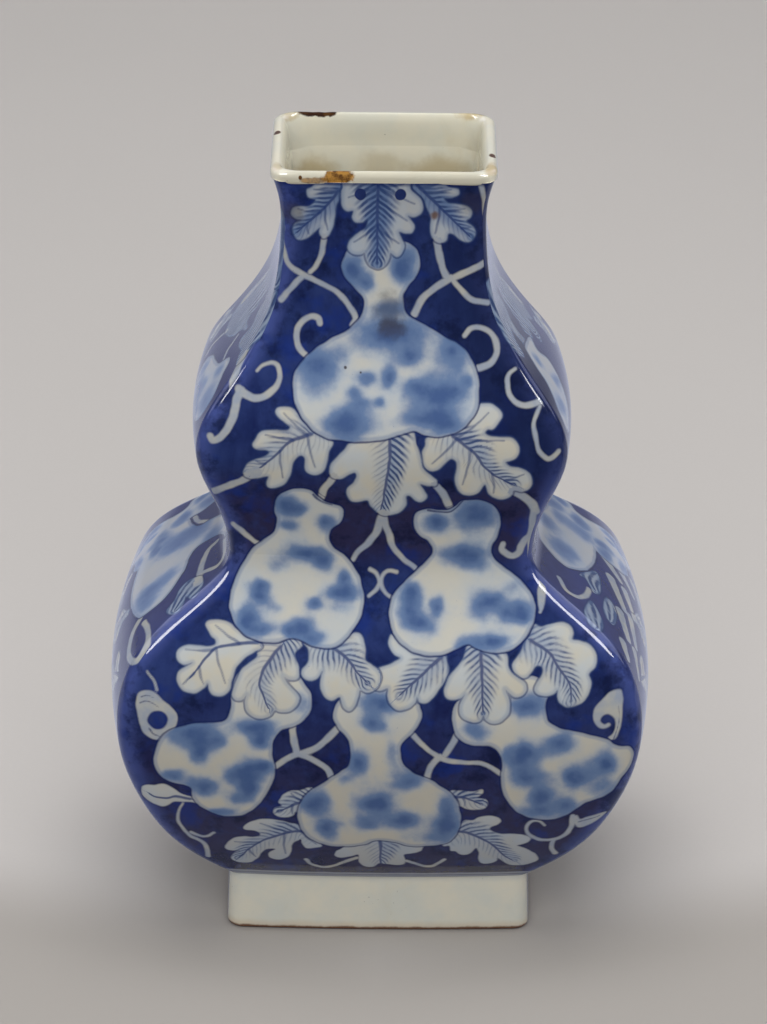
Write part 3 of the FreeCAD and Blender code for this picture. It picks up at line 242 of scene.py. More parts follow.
GOURDS = {
    "G1": (5, [(-7.77, 183.44), (-9.49, 181.09), (-10.22, 178.5), (-9.72, 176.2), (-8.21, 174.17), (-6.46, 172.41), (-4.96, 170.41), (-4.57, 168.14), (-5.42, 165.63), (-7.39, 163.36), (-9.87, 161.59), (-13.34, 159.79), (-16.07, 157.99), (-18.17, 156.2), (-19.9, 154.42), (-21.38, 152.26), (-22.18, 149.61), (-22.12, 146.36), (-21.47, 143.63), (-20.22, 140.92), (-18.64, 138.84), (-16.88, 137.14), (-14.76, 135.93), (-12.89, 135.09), (-9.15, 134.78), (-5.42, 134.58), (-0.44, 135.01), (3.28, 136.04), (7.74, 137.31), (10.49, 136.36), (12.98, 136.06), (16.46, 136.34), (19.19, 137.37), (21.29, 139.12), (23.02, 141.52), (23.87, 143.95), (24.03, 147.46), (23.83, 150.96), (22.56, 154.1), (21.17, 156.6), (19.03, 158.74), (16.53, 160.12), (14.15, 161.5), (12.02, 162.89), (9.27, 164.24), (6.52, 165.85), (5.13, 168.1), (4.98, 170.99), (6.2, 173.54), (8.16, 176.23), (9.12, 179.44), (8.35, 182.54), (6.09, 184.61), (2.12, 185.36), (-3.32, 185.05)],
        [(-7.7, 177.5, 2.2, 3.3, 1), (-4.2, 174.2, 1.5, 1.8, 0.8), (4.9, 178.2, 2.5, 3.3, 1), (7.1, 181.0, 1.7, 1.8, 0.5), (1.8, 168.0, 4.0, 1.5, 0.6), (1.3, 161.0, 7.0, 3.5, 1), (7.1, 156.3, 2.2, 2.0, 0.9), (-16.3, 153.5, 4.0, 3.5, 0.9), (-10.6, 156.8, 1.7, 1.7, 0.4), (-16.7, 147.7, 3.5, 2.5, 0.35), (-4.1, 150.7, 2.2, 1.5, 0.8), (-7.0, 146.7, 1.5, 1.3, 0.7), (-5.2, 143.9, 2.0, 1.2, 0.7), (-0.5, 144.5, 1.2, 1.0, 0.7), (-8.4, 139.2, 5.0, 3.0, 1.1), (2.0, 150.8, 1.7, 2.5, 0.9), (13.9, 146.3, 5.0, 3.3, 1.1), (9.2, 148.0, 2.0, 1.5, 0.8), (17.4, 147.0, 1.7, 1.8, 0.8), (11.9, 140.5, 5.5, 2.2, 0.9), (15.7, 138.8, 3.7, 1.7, 0.8), (17.8, 157.0, 3.7, 4.5, 0.9), (21.3, 149.7, 1.2, 1.3, 0.7)]),
    "G2L": (5, [(-25.13, 119.18), (-26.4, 116.87), (-26.67, 113.94), (-26.19, 110.78), (-26.71, 107.69), (-28.23, 105.85), (-30.26, 104.03), (-32.3, 102.1), (-33.95, 99.43), (-35.6, 96.79), (-36.83, 93.68), (-37.79, 90.49), (-38.12, 87.52), (-37.68, 84.85), (-36.75, 82.48), (-35.32, 80.42), (-33.53, 79.05), (-31.49, 78.22), (-28.71, 77.54), (-25.43, 77.77), (-22.68, 78.76), (-20.91, 78.68), (-19.14, 77.95), (-17.12, 76.96), (-14.6, 76.51), (-11.83, 76.56), (-9.96, 77.62), (-8.34, 79.34), (-6.35, 82), (-4.87, 84.84), (-4.27, 87.95), (-4.34, 90.9), (-4.95, 93.78), (-5.98, 96.57), (-7.77, 99.23), (-9.93, 101.5), (-11.95, 102.87), (-13.09, 104.85), (-12.97, 107.51), (-11.84, 109.2), (-10.21, 110.79), (-9.58, 113.18), (-10.09, 115.42), (-11.84, 116.19), (-13.85, 116.95), (-15.85, 118.52), (-17.48, 120.23), (-19.6, 120.96), (-22.61, 120.7)],
        [(-23.9, 115.7, 3.0, 3.2, 1), (-20.4, 114.8, 2.0, 1.9, 0.7), (-23.4, 109.0, 2.5, 1.8, 0.7), (-13.9, 110.5, 2.3, 2.2, 0.9), (-19.4, 101.6, 3.8, 2.5, 1), (-15.1, 99.2, 2.8, 2.4, 0.9), (-25.7, 98.4, 3.0, 2.3, 0.45), (-31.0, 92.3, 2.5, 1.8, 0.9), (-30.7, 89.4, 2.3, 2.1, 0.9), (-26.6, 87.2, 2.8, 1.9, 0.45), (-9.0, 95.3, 1.8, 2.3, 0.9), (-9.2, 91.4, 4.5, 2.4, 1), (-10.2, 87.0, 3.0, 1.6, 0.45), (-16.5, 87.7, 2.0, 1.9, 0.9), (-33.6, 83.1, 3.0, 3.2, 1), (-30.0, 80.6, 3.5, 2.1, 0.9), (-19.4, 81.5, 3.3, 2.4, 1), (-16.6, 78.9, 3.0, 1.8, 0.9), (-22.9, 80.3, 1.8, 1.6, 0.7)]),
    "G2R": (5, [(9.23, 114.18), (8.25, 111.78), (8.53, 108.98), (9.81, 106.72), (11.84, 105.39), (12.95, 103.51), (12.9, 101.39), (11.53, 99.36), (9.66, 97.56), (7.03, 95.15), (4.9, 92.95), (3.27, 90.7), (2.41, 88.01), (2.3, 84.77), (2.9, 81.83), (4.1, 79.2), (6.25, 77.01), (8.78, 75.48), (11.8, 74.77), (15.06, 74.83), (17.2, 75.51), (19.58, 76.59), (22.09, 77.59), (23.86, 76.67), (26.38, 75.75), (29.4, 75.32), (32.18, 75.7), (34.32, 76.76), (36.47, 78.9), (38.12, 81.75), (39.01, 84.52), (39.08, 87.22), (38.41, 89.92), (37.01, 92.21), (35.24, 94.33), (33.07, 96.16), (30.9, 97.86), (28.85, 99.58), (27.8, 101.65), (27.94, 103.78), (29.24, 106.22), (29.94, 109.22), (29.8, 112.35), (28.56, 115.11), (26.38, 116.94), (23.48, 117.8), (20.47, 117.51), (18.86, 116.08), (16.75, 114.64), (14.24, 114.56), (11.73, 114.99)],
        [(13.8, 110.8, 3.0, 3.1, 1), (24.6, 112.9, 5.0, 4.5, 1), (21.0, 101.3, 5.3, 3.1, 1), (23.5, 98.4, 3.0, 2.1, 0.45), (7.7, 91.2, 2.5, 2.7, 0.95), (6.9, 87.5, 2.5, 3.8, 0.9), (9.0, 83.5, 3.0, 2.4, 0.95), (14.0, 87.5, 1.8, 2.7, 0.9), (12.5, 81.3, 2.5, 2.1, 0.45), (27.4, 89.2, 3.5, 3.2, 1.05), (25.1, 85.8, 3.5, 2.4, 0.45), (31.4, 85.9, 2.3, 1.9, 0.9), (35.5, 86.1, 3.5, 3.0, 1), (34.0, 92.8, 2.3, 2.1, 0.45), (27.6, 78.3, 5.5, 2.1, 0.95), (20.1, 77.4, 2.0, 1.3, 0.45)]),
    "G3L": (2, [(-35.17, 69.74), (-36.92, 66.4), (-37.24, 63.57), (-37.23, 61.76), (-37.66, 59.11), (-38.55, 57.2), (-40.2, 56.46), (-43.24, 56.18), (-46.11, 55.91), (-49.08, 55.08), (-51.37, 54.27), (-53.42, 53.33), (-54.83, 51.84), (-56.01, 49.78), (-56.81, 47.26), (-57.1, 44.85), (-56.88, 42.73), (-56.02, 40.91), (-54.64, 39.41), (-53.12, 38.39), (-51.33, 37.85), (-49.55, 37.64), (-48.15, 37.07), (-47.53, 36.12), (-47.56, 34.27), (-46.57, 32.1), (-45.07, 30.27), (-43.04, 28.98), (-40.49, 27.7), (-37.93, 27.5), (-35.37, 27.86), (-33.05, 29.35), (-31.11, 31.24), (-29.51, 33.56), (-28.14, 36.54), (-27.21, 39.05), (-26.59, 41.08), (-26.37, 43.44), (-26.57, 45.34), (-27.02, 47.54), (-27.06, 49.43), (-26.81, 51.57), (-26.17, 53.28), (-24.91, 54.7), (-23.27, 55.57), (-21.38, 56.31), (-20, 57.02), (-18.69, 58.26), (-17.42, 60.28), (-17.05, 62.17), (-17.26, 64.44), (-18.28, 66.2), (-19.29, 67.7), (-20.56, 69.18), (-23.85, 71.1), (-29.65, 71.93)],
        [(-31.1, 55.6, 5.1, 2.2, 1), (-30.1, 52.0, 2.3, 2.5, 0.95), (-46.0, 52.7, 5.1, 3.6, 1), (-40.7, 51.6, 2.5, 2.5, 0.8), (-50.4, 51.7, 2.6, 2.5, 0.5), (-45.6, 47.6, 2.3, 3.5, 0.9), (-52.3, 40.5, 3.1, 1.9, 0.8), (-43.9, 36.8, 2.8, 3.0, 0.95), (-47.5, 38.3, 2.1, 1.6, 0.6), (-33.7, 42.5, 4.1, 3.1, 0.9), (-29.6, 43.9, 3.0, 1.8, 1), (-33.2, 38.4, 2.8, 3.9, 1), (-36.1, 34.3, 2.6, 2.4, 0.7), (-40.5, 28.8, 4.1, 1.4, 0.8), (-37.3, 41.1, 2.0, 2.2, 0.6), (-20.0, 61.8, 2.3, 3.1, 0.5)]),
    "G3C": (2, [(-11.5, 59.61), (-11.31, 57.64), (-10.17, 55.69), (-8.71, 54.09), (-7.77, 52.47), (-7.2, 49.98), (-7.19, 47.46), (-7.93, 44.81), (-9.77, 43.23), (-12, 41.35), (-14.6, 39.2), (-17.22, 37.02), (-19.07, 34.74), (-20.2, 31.69), (-20.58, 28.58), (-20.06, 24.88), (-18.75, 21.83), (-16.51, 19.24), (-14.26, 17.76), (-11.65, 16.92), (-7.11, 17.06), (-3.73, 18.05), (-1.49, 19.31), (0.76, 19.68), (4.14, 19.08), (7.89, 17.26), (11.66, 17.25), (15.42, 17.83), (18.01, 19.04), (19.86, 22.01), (20.55, 24.79), (20.88, 28.01), (20.45, 31.13), (19.45, 34.71), (17.76, 37.12), (15.45, 39.02), (12.49, 41.16), (9.52, 42.53), (7.63, 43.87), (5.94, 46.06), (5.29, 48.84), (5.34, 50.96), (6.26, 52.6), (7.53, 53.86), (8.83, 55.46), (10.09, 57.44), (10.62, 59.41), (10.23, 61.33), (9.48, 63.2), (6.34, 66.53), (0.04, 69.01), (-6.22, 66.42), (-9.96, 63.29), (-11.21, 61.46)],
        [(0.3, 62.4, 4.8, 2.9, 1), (-2.4, 57.3, 2.8, 2.2, 0.9), (0.4, 56.0, 1.8, 1.6, 0.45), (-5.1, 45.7, 2.5, 3.9, 0.95), (-8.4, 40.8, 1.8, 1.9, 0.5), (3.5, 47.9, 1.8, 5.0, 0.5), (7.3, 40.6, 4.0, 3.2, 0.75), (-1.2, 32.7, 4.1, 4.8, 1.1), (-3.7, 26.2, 3.6, 2.2, 0.8), (6.7, 27.4, 4.3, 3.3, 1), (-16.2, 33.0, 3.6, 4.1, 0.9), (-13.7, 23.8, 3.3, 3.8, 0.95), (17.8, 31.6, 2.5, 4.9, 0.85), (17.4, 24.5, 3.3, 4.9, 1), (13.2, 20.6, 5.1, 2.4, 0.6)]),
    "G3R": (2, [(18.35, 58.99), (18.5, 57.03), (19.16, 54.65), (20.58, 52.53), (22.86, 51.41), (25.39, 51.12), (27.61, 51.15), (29.27, 50.18), (30.62, 48.28), (31.17, 45.97), (31.05, 42.83), (31.04, 39.57), (31.7, 36.16), (32.9, 33.51), (34.63, 30.75), (36.67, 28.85), (39.36, 27.6), (42.04, 26.98), (44.71, 27.12), (47.02, 28), (48.98, 29.27), (50.93, 31.02), (52.55, 32.51), (54.52, 33.3), (56.83, 34.31), (59.11, 35.94), (60.37, 38.02), (61.29, 39.86), (62.83, 41.86), (64.33, 44.34), (64.8, 46.4), (64.32, 48.51), (63.15, 49.61), (61.22, 49.72), (59.41, 50.35), (57.95, 51.73), (55.94, 52.51), (52.94, 53.36), (49.94, 54.19), (46.62, 55.02), (44.27, 56.15), (42.62, 57.44), (41.94, 58.86), (41.76, 60.58), (41.88, 62.61), (42.5, 65.09), (41.56, 67.65), (37.76, 69.25), (31.46, 68.37), (22.67, 65.96), (18.94, 62.14)],
        [(36.6, 48.1, 3.3, 4.1, 1.1), (37.7, 41.5, 4.1, 2.8, 0.85), (45.9, 51.3, 3.6, 2.8, 0.85), (41.9, 48.9, 3.0, 1.7, 0.5), (57.0, 45.1, 3.1, 3.9, 1.1), (50.2, 41.4, 3.8, 3.8, 1), (41.2, 34.9, 3.3, 3.7, 1), (41.1, 30.0, 4.6, 2.1, 0.8), (47.7, 31.5, 3.3, 2.8, 0.85), (56.8, 37.2, 3.1, 2.6, 0.6), (32.5, 48.2, 1.3, 2.3, 0.5), (24.1, 55.4, 3.5, 2.5, 0.7), (37.3, 61.9, 4.0, 3.1, 1)]),
}
PALES = {
    "curl_left": (1, [(-61.52, 60.82), (-61.14, 62.93), (-59.73, 63.91), (-57.95, 64.14), (-56.17, 63.34), (-54.64, 61.73), (-52.99, 60.51), (-51.6, 59), (-50.97, 57.16), (-51.24, 54.97), (-52.4, 52.96), (-54.2, 51.31), (-56.38, 50.76), (-58.28, 51.35), (-59.8, 52.67), (-60.55, 54.71), (-60.91, 56.6), (-61.41, 58.72)], [[(-58.62, 56.19), (-57.97, 57.98), (-56.43, 58.87), (-54.78, 58.7), (-53.64, 57.55), (-53.53, 55.8), (-54.68, 54.23), (-56.35, 53.71), (-57.87, 54.46)]]),
    "curl_right": (1, [(61.13, 64.97), (61.32, 61.09), (61.28, 57.1), (60.84, 54.39), (59.87, 52.2), (58.61, 51.7), (57.82, 52.57), (58.82, 53.37), (59.42, 54.73), (59.51, 56.64), (58.97, 58.01), (57.93, 58.72), (56.66, 58.64), (55.91, 57.86), (55.94, 56.78), (56.97, 56.06), (57.98, 56.57), (58.38, 55.87), (57.25, 54.96), (55.72, 55.02), (54.55, 56.3), (53.74, 58.48), (54.21, 60.58), (55.32, 62.11), (56.83, 63.48), (58.59, 64.82)], []),
    "tail_r": (1, [(39.14, 97.11), (39.67, 96.14), (41.06, 94.25), (41.57, 91.92), (41.07, 88.64), (40.41, 85.56), (39.79, 88.14), (39.68, 91.61), (40.21, 94.4)], []),
    "tip_br": (1, [(49.38, 27.15), (50.64, 28.18), (51.46, 26.68), (53.49, 27.48), (56.03, 28.43), (58.48, 28.73), (56.65, 26.66), (54.11, 24.67), (52.09, 23.46), (50.51, 24.12)], []),
}
VINES = [
    ([(23.94, 199.93), (24.83, 196.41), (25.3, 191.95)], 1.32, 1.33),
    ([(-14.72, 185.42), (-15.2, 182.04), (-16.68, 178.4), (-18.16, 176.83)], 1.52, 1.14),
    ([(-25.23, 188.15), (-25.35, 184.6), (-24.47, 180.95), (-23.02, 178.27), (-19.65, 176.08), (-15.17, 173.86), (-11.18, 171.64), (-8.43, 168.5), (-6.84, 165.37), (-7.49, 163.61)], 1.3, 1.49),
    ([(-20.15, 175.61), (-22.78, 172.8), (-25.47, 169.5)], 1.51, 1.53),
    ([(13.28, 184.79), (14.33, 179.71), (15.61, 176.11)], 1.78, 1.77),
    ([(25.22, 179.18), (19.58, 176.62), (14.39, 174.07), (9.96, 170.51), (7.93, 166.48)], 1.72, 1.75),
    ([(16.61, 175.96), (19.28, 172.78), (22, 170.23), (26.11, 169.17)], 1.26, 1.57),
    ([(-15.61, 163.88), (-16.12, 165.22), (-17.87, 165.68), (-20.1, 164.24), (-21.33, 161.86), (-21.18, 158.63), (-20.2, 156.96), (-19.04, 155.93)], 1.5, 1.5),
    ([(-31.23, 151.6), (-29.75, 153.15), (-27.51, 153.84), (-25.87, 152.76), (-25.6, 150.02), (-26.7, 147.48), (-29.17, 145.4), (-31.92, 144.81), (-34.18, 145.73), (-35.69, 146.93)], 0.75, 2.25),
    ([(-35.19, 146.7), (-36.17, 144.41), (-36.5, 142.4), (-37.17, 139.64), (-38.61, 136.84), (-40.35, 134.64), (-42.11, 133.93), (-42.87, 134.9)], 2.13, 1.77),
    ([(-31.35, 125.71), (-34.64, 123.18), (-37.92, 121.47), (-42.08, 119.18)], 1.9, 1.96),
    ([(33.47, 120.16), (35.62, 118.69), (37.8, 116.36), (38.94, 113.57)], 2.26, 2.37),
    ([(13.79, 122.15), (15.16, 120.45), (16.2, 118.2), (16.98, 115.93)], 1.95, 2),
    ([(-12.1, 124.54), (-13, 123.19), (-14.4, 120.98), (-15.1, 118.21)], 1.78, 1.85),
    ([(20.4, 161.12), (21.78, 162.71), (23.87, 163.19), (25.98, 162.47), (27.74, 160.71), (28.46, 158.25), (28.13, 155.81), (26.75, 154.08), (24.66, 153.05), (23.81, 152.89)], 1.25, 1.75),
    ([(33.07, 152.56), (31.49, 151.2), (31.16, 149.11), (31.52, 146.65), (33.11, 144.51), (35.21, 143.42), (37.67, 143.72), (40.02, 144.44)], 1, 1.85),
    ([(39.44, 142.94), (38.38, 140.91), (37.88, 138.48), (38.26, 135.68), (39.19, 132.09), (40.98, 130.01), (42.39, 129.97), (44.15, 131.54)], 1, 1.33),
    ([(-37.33, 109.02), (-35.31, 107.33), (-33.3, 105.35), (-31.78, 104.11), (-31.03, 103.71)], 1.45, 1.34),
    ([(0.46, 113.01), (-0.28, 111.1), (-1.09, 107.8), (-3.26, 104.44), (-5.77, 101.94), (-7.02, 99.9)], 2.27, 1.29),
    ([(0.46, 113.01), (0.98, 110.49), (2.27, 106.34), (3.04, 103.44), (4.83, 101.11), (6.54, 99.31), (8.65, 97.81)], 1.98, 1.27),
    ([(-2.71, 97.36), (-1.19, 96.37), (-0.29, 94.34), (-0.9, 92.52), (-2.9, 90.38)], 1.01, 1.04),
    ([(4.11, 96.66), (1.84, 96.9), (0.34, 95.37), (0.1, 93.31), (1.12, 91.49), (2.65, 90.17)], 1.01, 1.04),
    ([(30.8, 104.01), (30.57, 102.59), (31.86, 101.15), (33.4, 100.55), (34.9, 101.64), (35.37, 103.33), (36.36, 105), (37.69, 106.57), (38.11, 109.02), (38.24, 111.61), (38.41, 114.21)], 1.62, 2),
    ([(37.84, 104.69), (38.3, 100.67), (39.22, 96.94), (41.12, 94.17), (41.37, 91.49), (41.06, 88.37), (40.29, 85.7)], 1.91, 0.78),
    ([(-21.84, 56.7), (-21.76, 53.69), (-20.9, 48.9)], 1.7, 1.89),
    ([(-10.43, 55.87), (-12.76, 53.21), (-14.97, 50.89), (-17.97, 49.13), (-21.25, 48.02), (-23.86, 46.38), (-26.07, 44.6)], 1.83, 1.66),
    ([(-20.24, 48.34), (-16.83, 46.82), (-14.61, 45.33), (-12.94, 43.83), (-12, 41.32)], 1.63, 1.69),
    ([(8.21, 54.41), (10.5, 51.79), (13.13, 49.28), (16.1, 47.35), (19.1, 46.48), (22.06, 46.12), (25.73, 45.95), (28.39, 44.47), (30.86, 42.59)], 1.45, 1.26),
    ([(19.55, 54.1), (18.3, 51.34), (16.59, 48.46)], 1.58, 1.49),
    ([(15.09, 47.88), (13, 44.96), (12.13, 41.57)], 1.9, 1.69),
    ([(-49.92, 31.35), (-51.01, 28.68), (-51.34, 26.33), (-51.11, 23.99), (-49.83, 21.64), (-48.26, 19.16), (-46.36, 17.69), (-44.71, 16.13), (-44.14, 13.17), (-43.89, 9.82)], 0.66, 1.37),
    ([(-48.09, 20.7), (-45.62, 19.25), (-43.65, 19.54), (-42.15, 20.96)], 1.04, 0.84),
    ([(-18.65, 10.09), (-17.35, 7.66), (-14.71, 6.05), (-11.68, 6.64), (-9.02, 8.93), (-5.62, 11.43)], 1.12, 1.28),
    ([(7.21, 10.08), (9.1, 8.8), (11.78, 7.08), (14.05, 7.06), (15.54, 8.74), (17.01, 10.76)], 1.31, 1.12),
    ([(42.44, 24.82), (41.06, 26.33), (39.06, 26.41), (37.78, 24.52), (38.18, 22.01), (40.25, 19.82), (42.95, 18.85), (45.95, 19.53), (47.91, 21.02), (49.17, 23.5), (49.62, 27.87)], 0.75, 1.41),
    ([(45.01, 19.03), (44.38, 16.22), (45.48, 12.78)], 1.12, 1.53),
    ([(-58.74, 68.91), (-57.2, 66.98), (-56.17, 64.24)], 0.51, 0.77),
]
LINES = [
    ([(-60.5, 60.62), (-58.97, 61.23), (-57.19, 60.68), (-55.67, 59.84)], 0.34),
    ([(-60.24, 62.2), (-58.72, 62.68), (-56.93, 62.13)], 0.31),
    ([(58.88, 51.12), (59.84, 53.61), (60.51, 57.14), (60.31, 60.87)], 0.32),
    ([(50.98, 25.6), (54.04, 26.54), (56.58, 27.83)], 0.37),
    ([(-17.1, 119.28), (-15.1, 117.25), (-12.34, 116.18)], 0.65),
    ([(11.73, 114.66), (14.75, 114.01), (17.76, 114.31), (20.47, 117.51)], 0.63),
    ([(-16.6, 121.04), (-14.85, 119.02), (-12.59, 117.79)], 0.36),
    ([(12.72, 115.96), (14.98, 115.46), (17.24, 115.77), (19.21, 117.85)], 0.37),
    ([(-58.26, 53.74), (-57.25, 52.54), (-55.47, 51.81)], 0.48),
]
EYES = [
    (-5.74, 197.42, 1.48, 1.69),
    (4.12, 197.51, 1.48, 1.69),
    (9.38, 134.80, 0.85, 1.39),
    (-20.09, 18.97, 0.41, 0.67),
]


# ---------------------------------------------------------------- how the drawing is laid on a face
def curve_closed(pts, k=4):
    p = np.array(pts, float)
    out = []
    n = len(p)
    for i in range(n):
        a, b, c, d = p[i - 1], p[i], p[(i + 1) % n], p[(i + 2) % n]
        for t in np.arange(k) / k:
            out.append(0.5 * ((2 * b) + (c - a) * t + (2 * a - 5 * b + 4 * c - d) * t * t + (3 * b - a - 3 * c + d) * t ** 3))
    return np.array(out)


def curve_open(pts, k=6):
    p = np.array(pts, float)
    if len(p) == 2:
        p = np.array([p[0], (p[0] + p[1]) / 2, p[1]])
    q = np.vstack([2 * p[0] - p[1], p, 2 * p[-1] - p[-2]])
    out = []
    for i in range(1, len(q) - 2):
        a, b, c, d = q[i - 1], q[i], q[i + 1], q[i + 2]
        for t in np.arange(k) / k:
            out.append(0.5 * ((2 * b) + (c - a) * t + (2 * a - 5 * b + 4 * c - d) * t * t + (3 * b - a - 3 * c + d) * t ** 3))
    out.append(p[-1])
    return np.array(out)


def near(Q, pts, pad):
    lo, hi = pts.min(0) - pad, pts.max(0) + pad
    return np.where((Q[:, 0] > lo[0]) & (Q[:, 0] < hi[0]) & (Q[:, 1] > lo[1]) & (Q[:, 1] < hi[1]))[0]


def to_segments(q, a, b):
    """Distance from points q to the segments a-b: returns the array (points, segments) and the place along each."""
    ab = b - a
    l2 = np.maximum((ab ** 2).sum(1), 1e-9)
    qa = q[:, None, :] - a[None]
    t = np.clip((qa * ab[None]).sum(2) / l2[None], 0, 1)
    d = qa - t[..., None] * ab[None]
    return np.hypot(d[..., 0], d[..., 1]), t


def inside_dist(q, poly):
    """Signed distance to a closed outline, positive inside."""
    out = np.empty(len(q))
    a, b = poly, np.roll(poly, -1, 0)
    for i in range(0, len(q), 4000):
        c = q[i:i + 4000]
        d, _ = to_segments(c, a, b)
        up = (a[None, :, 1] > c[:, None, 1]) != (b[None, :, 1] > c[:, None, 1])
        dy = np.where(np.abs(b[:, 1] - a[:, 1]) < 1e-9, 1e-9, b[:, 1] - a[:, 1])
        xc = a[None, :, 0] + (c[:, None, 1] - a[None, :, 1]) * ((b[:, 0] - a[:, 0]) / dy)[None]
        odd = ((up & (c[:, None, 0] < xc)).sum(1) % 2) == 1
        out[i:i + 4000] = np.where(odd, 1, -1) * d.min(1)
    return out


def path_dist(q, path, w0, w1):
    """Signed distance to a brush stroke whose width runs from w0 to w1, positive inside."""
    seg = np.hypot(*np.diff(path, axis=0).T)
    cum = np.concatenate([[0], np.cumsum(seg)])
    out = np.empty(len(q))
    for i in range(0, len(q), 4000):
        d, t = to_segments(q[i:i + 4000], path[:-1], path[1:])
        k = d.argmin(1)
        r = np.arange(len(k))
        f = (cum[k] + t[r, k] * seg[k]) / cum[-1]
        out[i:i + 4000] = (w0 + (w1 - w0) * f) / 2 - d[r, k]
    return out


def along_rib(q, rib):
    """Place along a midrib and signed distance across it (left of its direction positive)."""
    seg = np.diff(rib, axis=0)
    ln = np.hypot(seg[:, 0], seg[:, 1])
    cum = np.concatenate([[0], np.cumsum(ln)])
    lp, lq = np.empty(len(q)), np.empty(len(q))
    for i in range(0, len(q), 4000):
        c = q[i:i + 4000]
        d, t = to_segments(c, rib[:-1], rib[1:])
        k = d.argmin(1)
        r = np.arange(len(k))
        rel = c - rib[k]
        cr = seg[k, 0] * rel[:, 1] - seg[k, 1] * rel[:, 0]
        dot = (seg[k] * rel).sum(1) / ln[k]
        lp[i:i + 4000] = cum[k] + dot
        lq[i:i + 4000] = np.sign(cr) * d[r, k]
    return lp, lq


def wobble(x, y, seed, f=0.35):
    """Smooth seeded variation between about -1 and 1."""
    g = np.random.default_rng(seed)
    out = 0
    for _ in range(6):
        a, b, c = g.uniform(-1, 1), g.uniform(-1, 1), g.uniform(0, 6.28)
        out = out + np.sin((a * x + b * y) * f * 2 + c)
    return out / 3.2


def move(pts, at, scale, turn=0.0, mirror=False, pivot=None):
    """Copies an outline: turned, scaled and set down with its pivot at a new place."""
    p = np.array(pts, float)
    c = np.array(pivot if pivot is not None else p.mean(0), float)
    p = p - c
    if mirror:
        p[:, 0] *= -1
    p = p * np.array(scale if np.ndim(scale) else (scale, scale), float)
    ca, sa = math.cos(turn), math.sin(turn)
    return p @ np.array([[ca, sa], [-sa, ca]]) + np.array(at, float)


def lobe_ribs(poly, rib):
    """Side ribs that run from the midrib into each lobe of a leaf."""
    lp, lq = along_rib(poly, rib)
    seg = np.hypot(*np.diff(rib, axis=0).T)
    cum = np.concatenate([[0], np.cumsum(seg)])
    total = cum[-1]
    out = []
    for side in (1, -1):
        v = lq * side
        n = len(v)
        win = max(3, n // 30)
        for i in range(n):
            w = v[np.arange(i - win, i + win + 1) % n]
            if v[i] > 1.6 and v[i] == w.max():
                at = np.clip(lp[i] - 0.75 * v[i], 0.06 * total, 0.92 * total)
                base = np.array([np.interp(at, cum, rib[:, 0]), np.interp(at, cum, rib[:, 1])])
                tip = base + 0.80 * (poly[i] - base)
                mid = (base + tip) / 2
                fwd = np.array([np.interp(min(at + 1, total), cum, rib[:, 0]), np.interp(min(at + 1, total), cum, rib[:, 1])]) - base
                out.append(curve_open([base, mid + 0.25 * fwd, tip]))
    return out


